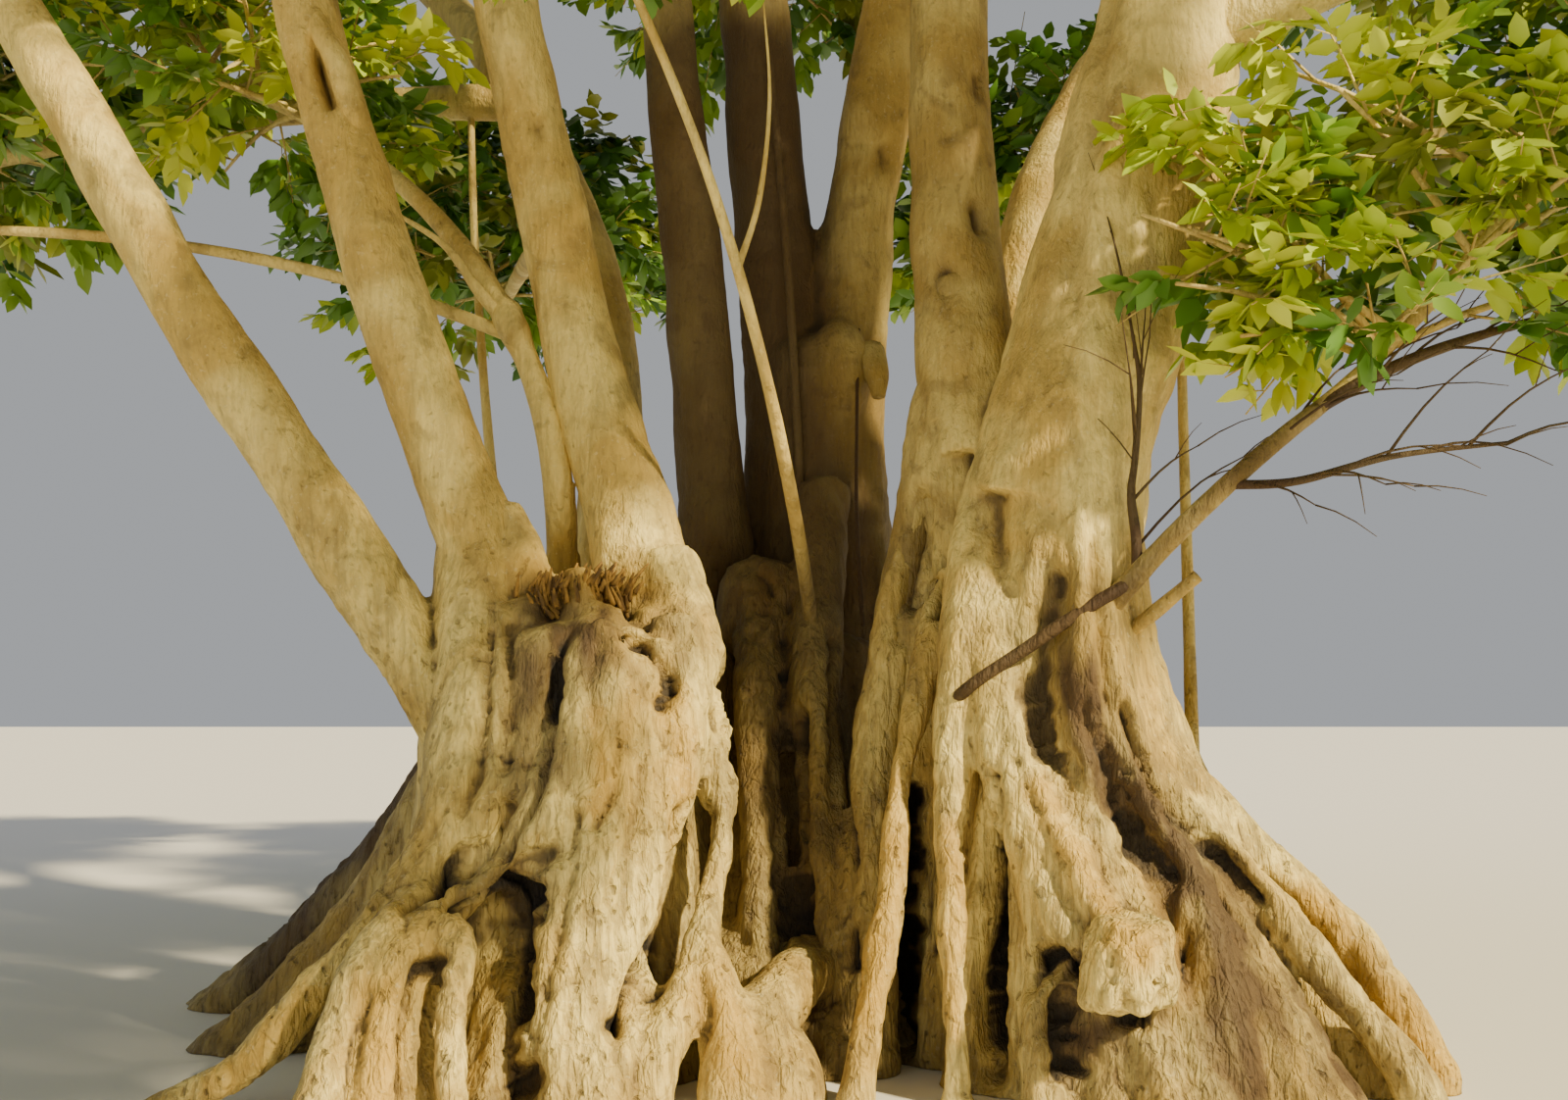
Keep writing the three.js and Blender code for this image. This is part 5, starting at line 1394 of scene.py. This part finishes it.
woodParts = []
leafSpots = {name: [] for name in leafColours}
dealt = np.cumsum([often for _, *often in leafColours.values()], axis=0)
seed = 0
for curve, radii, mass in limbs.values():
    if not mass:
        continue
    seed += 1
    centre, reach, outward = masses[mass]
    size = reach.mean()
    isLow = mass in lowMasses
    kind = foliage["low" if isLow else "crown"]
    twigCount, sprigCount, twigletCount, leafCount = kind["counts"]
    heading = unit(curve[2] - curve[1])
    root = curve[2]
    endOut, endUp = foliage["stemTip"]
    end = centre + endOut * reach[0] * outward + endUp * reach[2] * up
    stem = (root, root + foliage["stemKnee"] * np.linalg.norm(end - root) * heading, end)
    k = np.arange(twigCount)
    top, span = foliage["aim"]
    height = top - span * (k + 0.5) / twigCount
    turn = k * goldenAngle + 2 * math.pi * seeded(seed, 0, 1)
    flat = np.sqrt(1 - height**2)
    aim = np.stack([flat * np.cos(turn), flat * np.sin(turn), height], 1)
    last, span = foliage["starts"]
    starts = last - span * (k + 0.5) / twigCount
    hanging = np.reshape(hangingTwigs.get(mass, ()), (-1, 3))
    aim = np.concatenate([aim, hanging])
    k = np.arange(len(aim))
    twigRoots = curveAt(stem, np.append(starts, np.full(len(hanging), foliage["hangingStart"])))
    twigTips = centre + aim * reach * kind["reach"]
    rings = foliage["stemRings"]
    stemRadii = np.linspace(radii[1], foliage["stemEnd"], rings)
    stemPath = curveAt(stem, np.linspace(0, 1, rings))
    woodParts.append(skinOf(ringsAlong(stemPath, stemRadii, foliage["stemSides"])))
    twig, sprig = foliage["twig"], foliage["sprig"]
    woodParts.append(twigTubes(twigRoots, twigTips, twig["radii"], twig["arch"], 5, 5))
    first, turned, length = foliage["sprigRule"]
    sprigRoots, sprigTips, sprigIds = sideShoots(
        twigRoots, twigTips, twig["arch"], k, sprigCount, first, turned, length * size, seed, 1)
    keep = insideOwnSpace(sprigTips, mass) & clearOfLimbs(sprigTips, mass) & insideBox(sprigTips)
    sprigRoots, sprigTips, sprigIds = sprigRoots[keep], sprigTips[keep], sprigIds[keep]
    woodParts.append(twigTubes(sprigRoots, sprigTips, sprig["radii"], sprig["arch"], 3, 3))
    first, turned, length = foliage["twigletRule"]
    shootRoots, shootTips, shootIds = sideShoots(
        sprigRoots, sprigTips, sprig["arch"], sprigIds, twigletCount, first, turned, length * size, seed, 2)
    keep = insideOwnSpace(shootTips, mass) & insideBox(shootTips)
    shootRoots, shootTips, shootIds = shootRoots[keep], shootTips[keep], shootIds[keep]
    woodParts.append(spikes(shootRoots, shootTips, foliage["twigletRadius"]))
    leafRoots, leafTips, leafIds = sideShoots(
        shootRoots, shootTips, 0.0, shootIds, leafCount, *foliage["leafRule"], seed, 3)
    shortest, more = foliage["leafSizes"]
    leafLength = kind["leaf"] * (shortest + more * seeded(seed, leafIds, 91))
    along = unit(leafTips - leafRoots - foliage["droop"] * up)
    ends = leafRoots + along * leafLength[:, None]
    keep = insideOwnSpace(ends, mass) & clearOfLimbs(ends, mass) & insideBox(ends)
    facingTurn = 2 * math.pi * seeded(seed, leafIds, 95)
    sway = foliage["facingSway"]
    facing = np.stack([sway * np.cos(facingTurn), sway * np.sin(facingTurn), np.ones(len(ends))], 1)
    blades = leafBlades(leafRoots, along, facing, leafLength)
    sprigOf = leafIds // (leafCount * twigletCount)
    draw = np.minimum(np.searchsorted(dealt[:, int(isLow)], seeded(seed, sprigOf, 7)), len(dealt) - 1)
    for index, name in enumerate(leafColours):
        leafSpots[name].append(blades[keep & (draw == index)])

foliageNodes = [name for name in nodeNames if name.startswith("foliage_")]
verts, faces = joined(woodParts)
twigPiece = meshPiece("twigs", verts, faces, "bark", barkSkin, *foliageNodes)
setMarks(twigPiece, weathering(verts, np.zeros(len(verts))))
print("twigs:", len(faces), "triangles")
for name, (code, *_) in leafColours.items():
    blades = np.concatenate(leafSpots[name])
    faces = (np.arange(len(blades))[:, None, None] * len(leafOutline) + leafFaces).reshape(-1, 3)
    shade = Shade(name, leafRoughness)
    shade.skin.inputs["Base Color"].default_value = colour(code)
    meshPiece(name, blades.reshape(-1, 3), faces, "leaves", shade.material, *foliageNodes)
    print(name, len(blades), "leaves,", len(faces), "triangles")


# Stage, lights and camera


stage = {
    "floorSize": 700.0, "floor": "#e6e3dc", "floorRoughness": 0.9, "floorDrop": 0.003, "world": "#eef2f7",
    "worldStrength": 0.46,
}
floorMesh = bpy.data.meshes.new("floor")
half = stage["floorSize"] / 2
corners = [(-half, -half, 0), (half, -half, 0), (half, half, 0), (-half, half, 0)]
floorMesh.from_pydata(corners, [], [(0, 1, 2, 3)])
floor = bpy.data.objects.new("floor", floorMesh)
floor.location.z = -stage["floorDrop"]
bpy.context.scene.collection.objects.link(floor)
floorShade = Shade("floor_pale", stage["floorRoughness"])
floorShade.skin.inputs["Base Color"].default_value = colour(stage["floor"])
floorMesh.materials.append(floorShade.material)

world = bpy.data.worlds.new("studio")
world.use_nodes = True
backdrop = world.node_tree.nodes["Background"]
backdrop.inputs["Color"].default_value = colour(stage["world"])
backdrop.inputs["Strength"].default_value = stage["worldStrength"]
bpy.context.scene.world = world

lamps = {  # degrees right of the camera and above the floor, softness in degrees, strength, colour
    "key": (52.0, 34.0, 2.5, 8.6, "#ffecbc"),
    "fill": (-50.0, 22.0, 60.0, 0.3, "#e8eefc"),
}
for name, (right, above, soft, strength, code) in lamps.items():
    lamp = bpy.data.lights.new(name, "SUN")
    lamp.angle = math.radians(soft)
    lamp.energy = strength
    lamp.color = colour(code)[:3]
    holder = bpy.data.objects.new(name, lamp)
    holder.rotation_euler = (math.radians(90 - above), 0, math.radians(right))
    bpy.context.scene.collection.objects.link(holder)

view = {
    "place": (0.0, -8.3, 1.6), "pitch": 6.3, "focalPixels": 1570, "widthPixels": 1600, "sensor": 36.0,
    "far": 1000,
}
eye = bpy.data.cameras.new("eye")
eye.sensor_width = view["sensor"]
eye.lens = view["sensor"] * view["focalPixels"] / view["widthPixels"]
eye.clip_end = view["far"]
camera = bpy.data.objects.new("eye", eye)
camera.location = view["place"]
camera.rotation_euler = (math.radians(90 + view["pitch"]), 0, 0)
bpy.context.scene.collection.objects.link(camera)
bpy.context.scene.camera = camera
print("stage set")
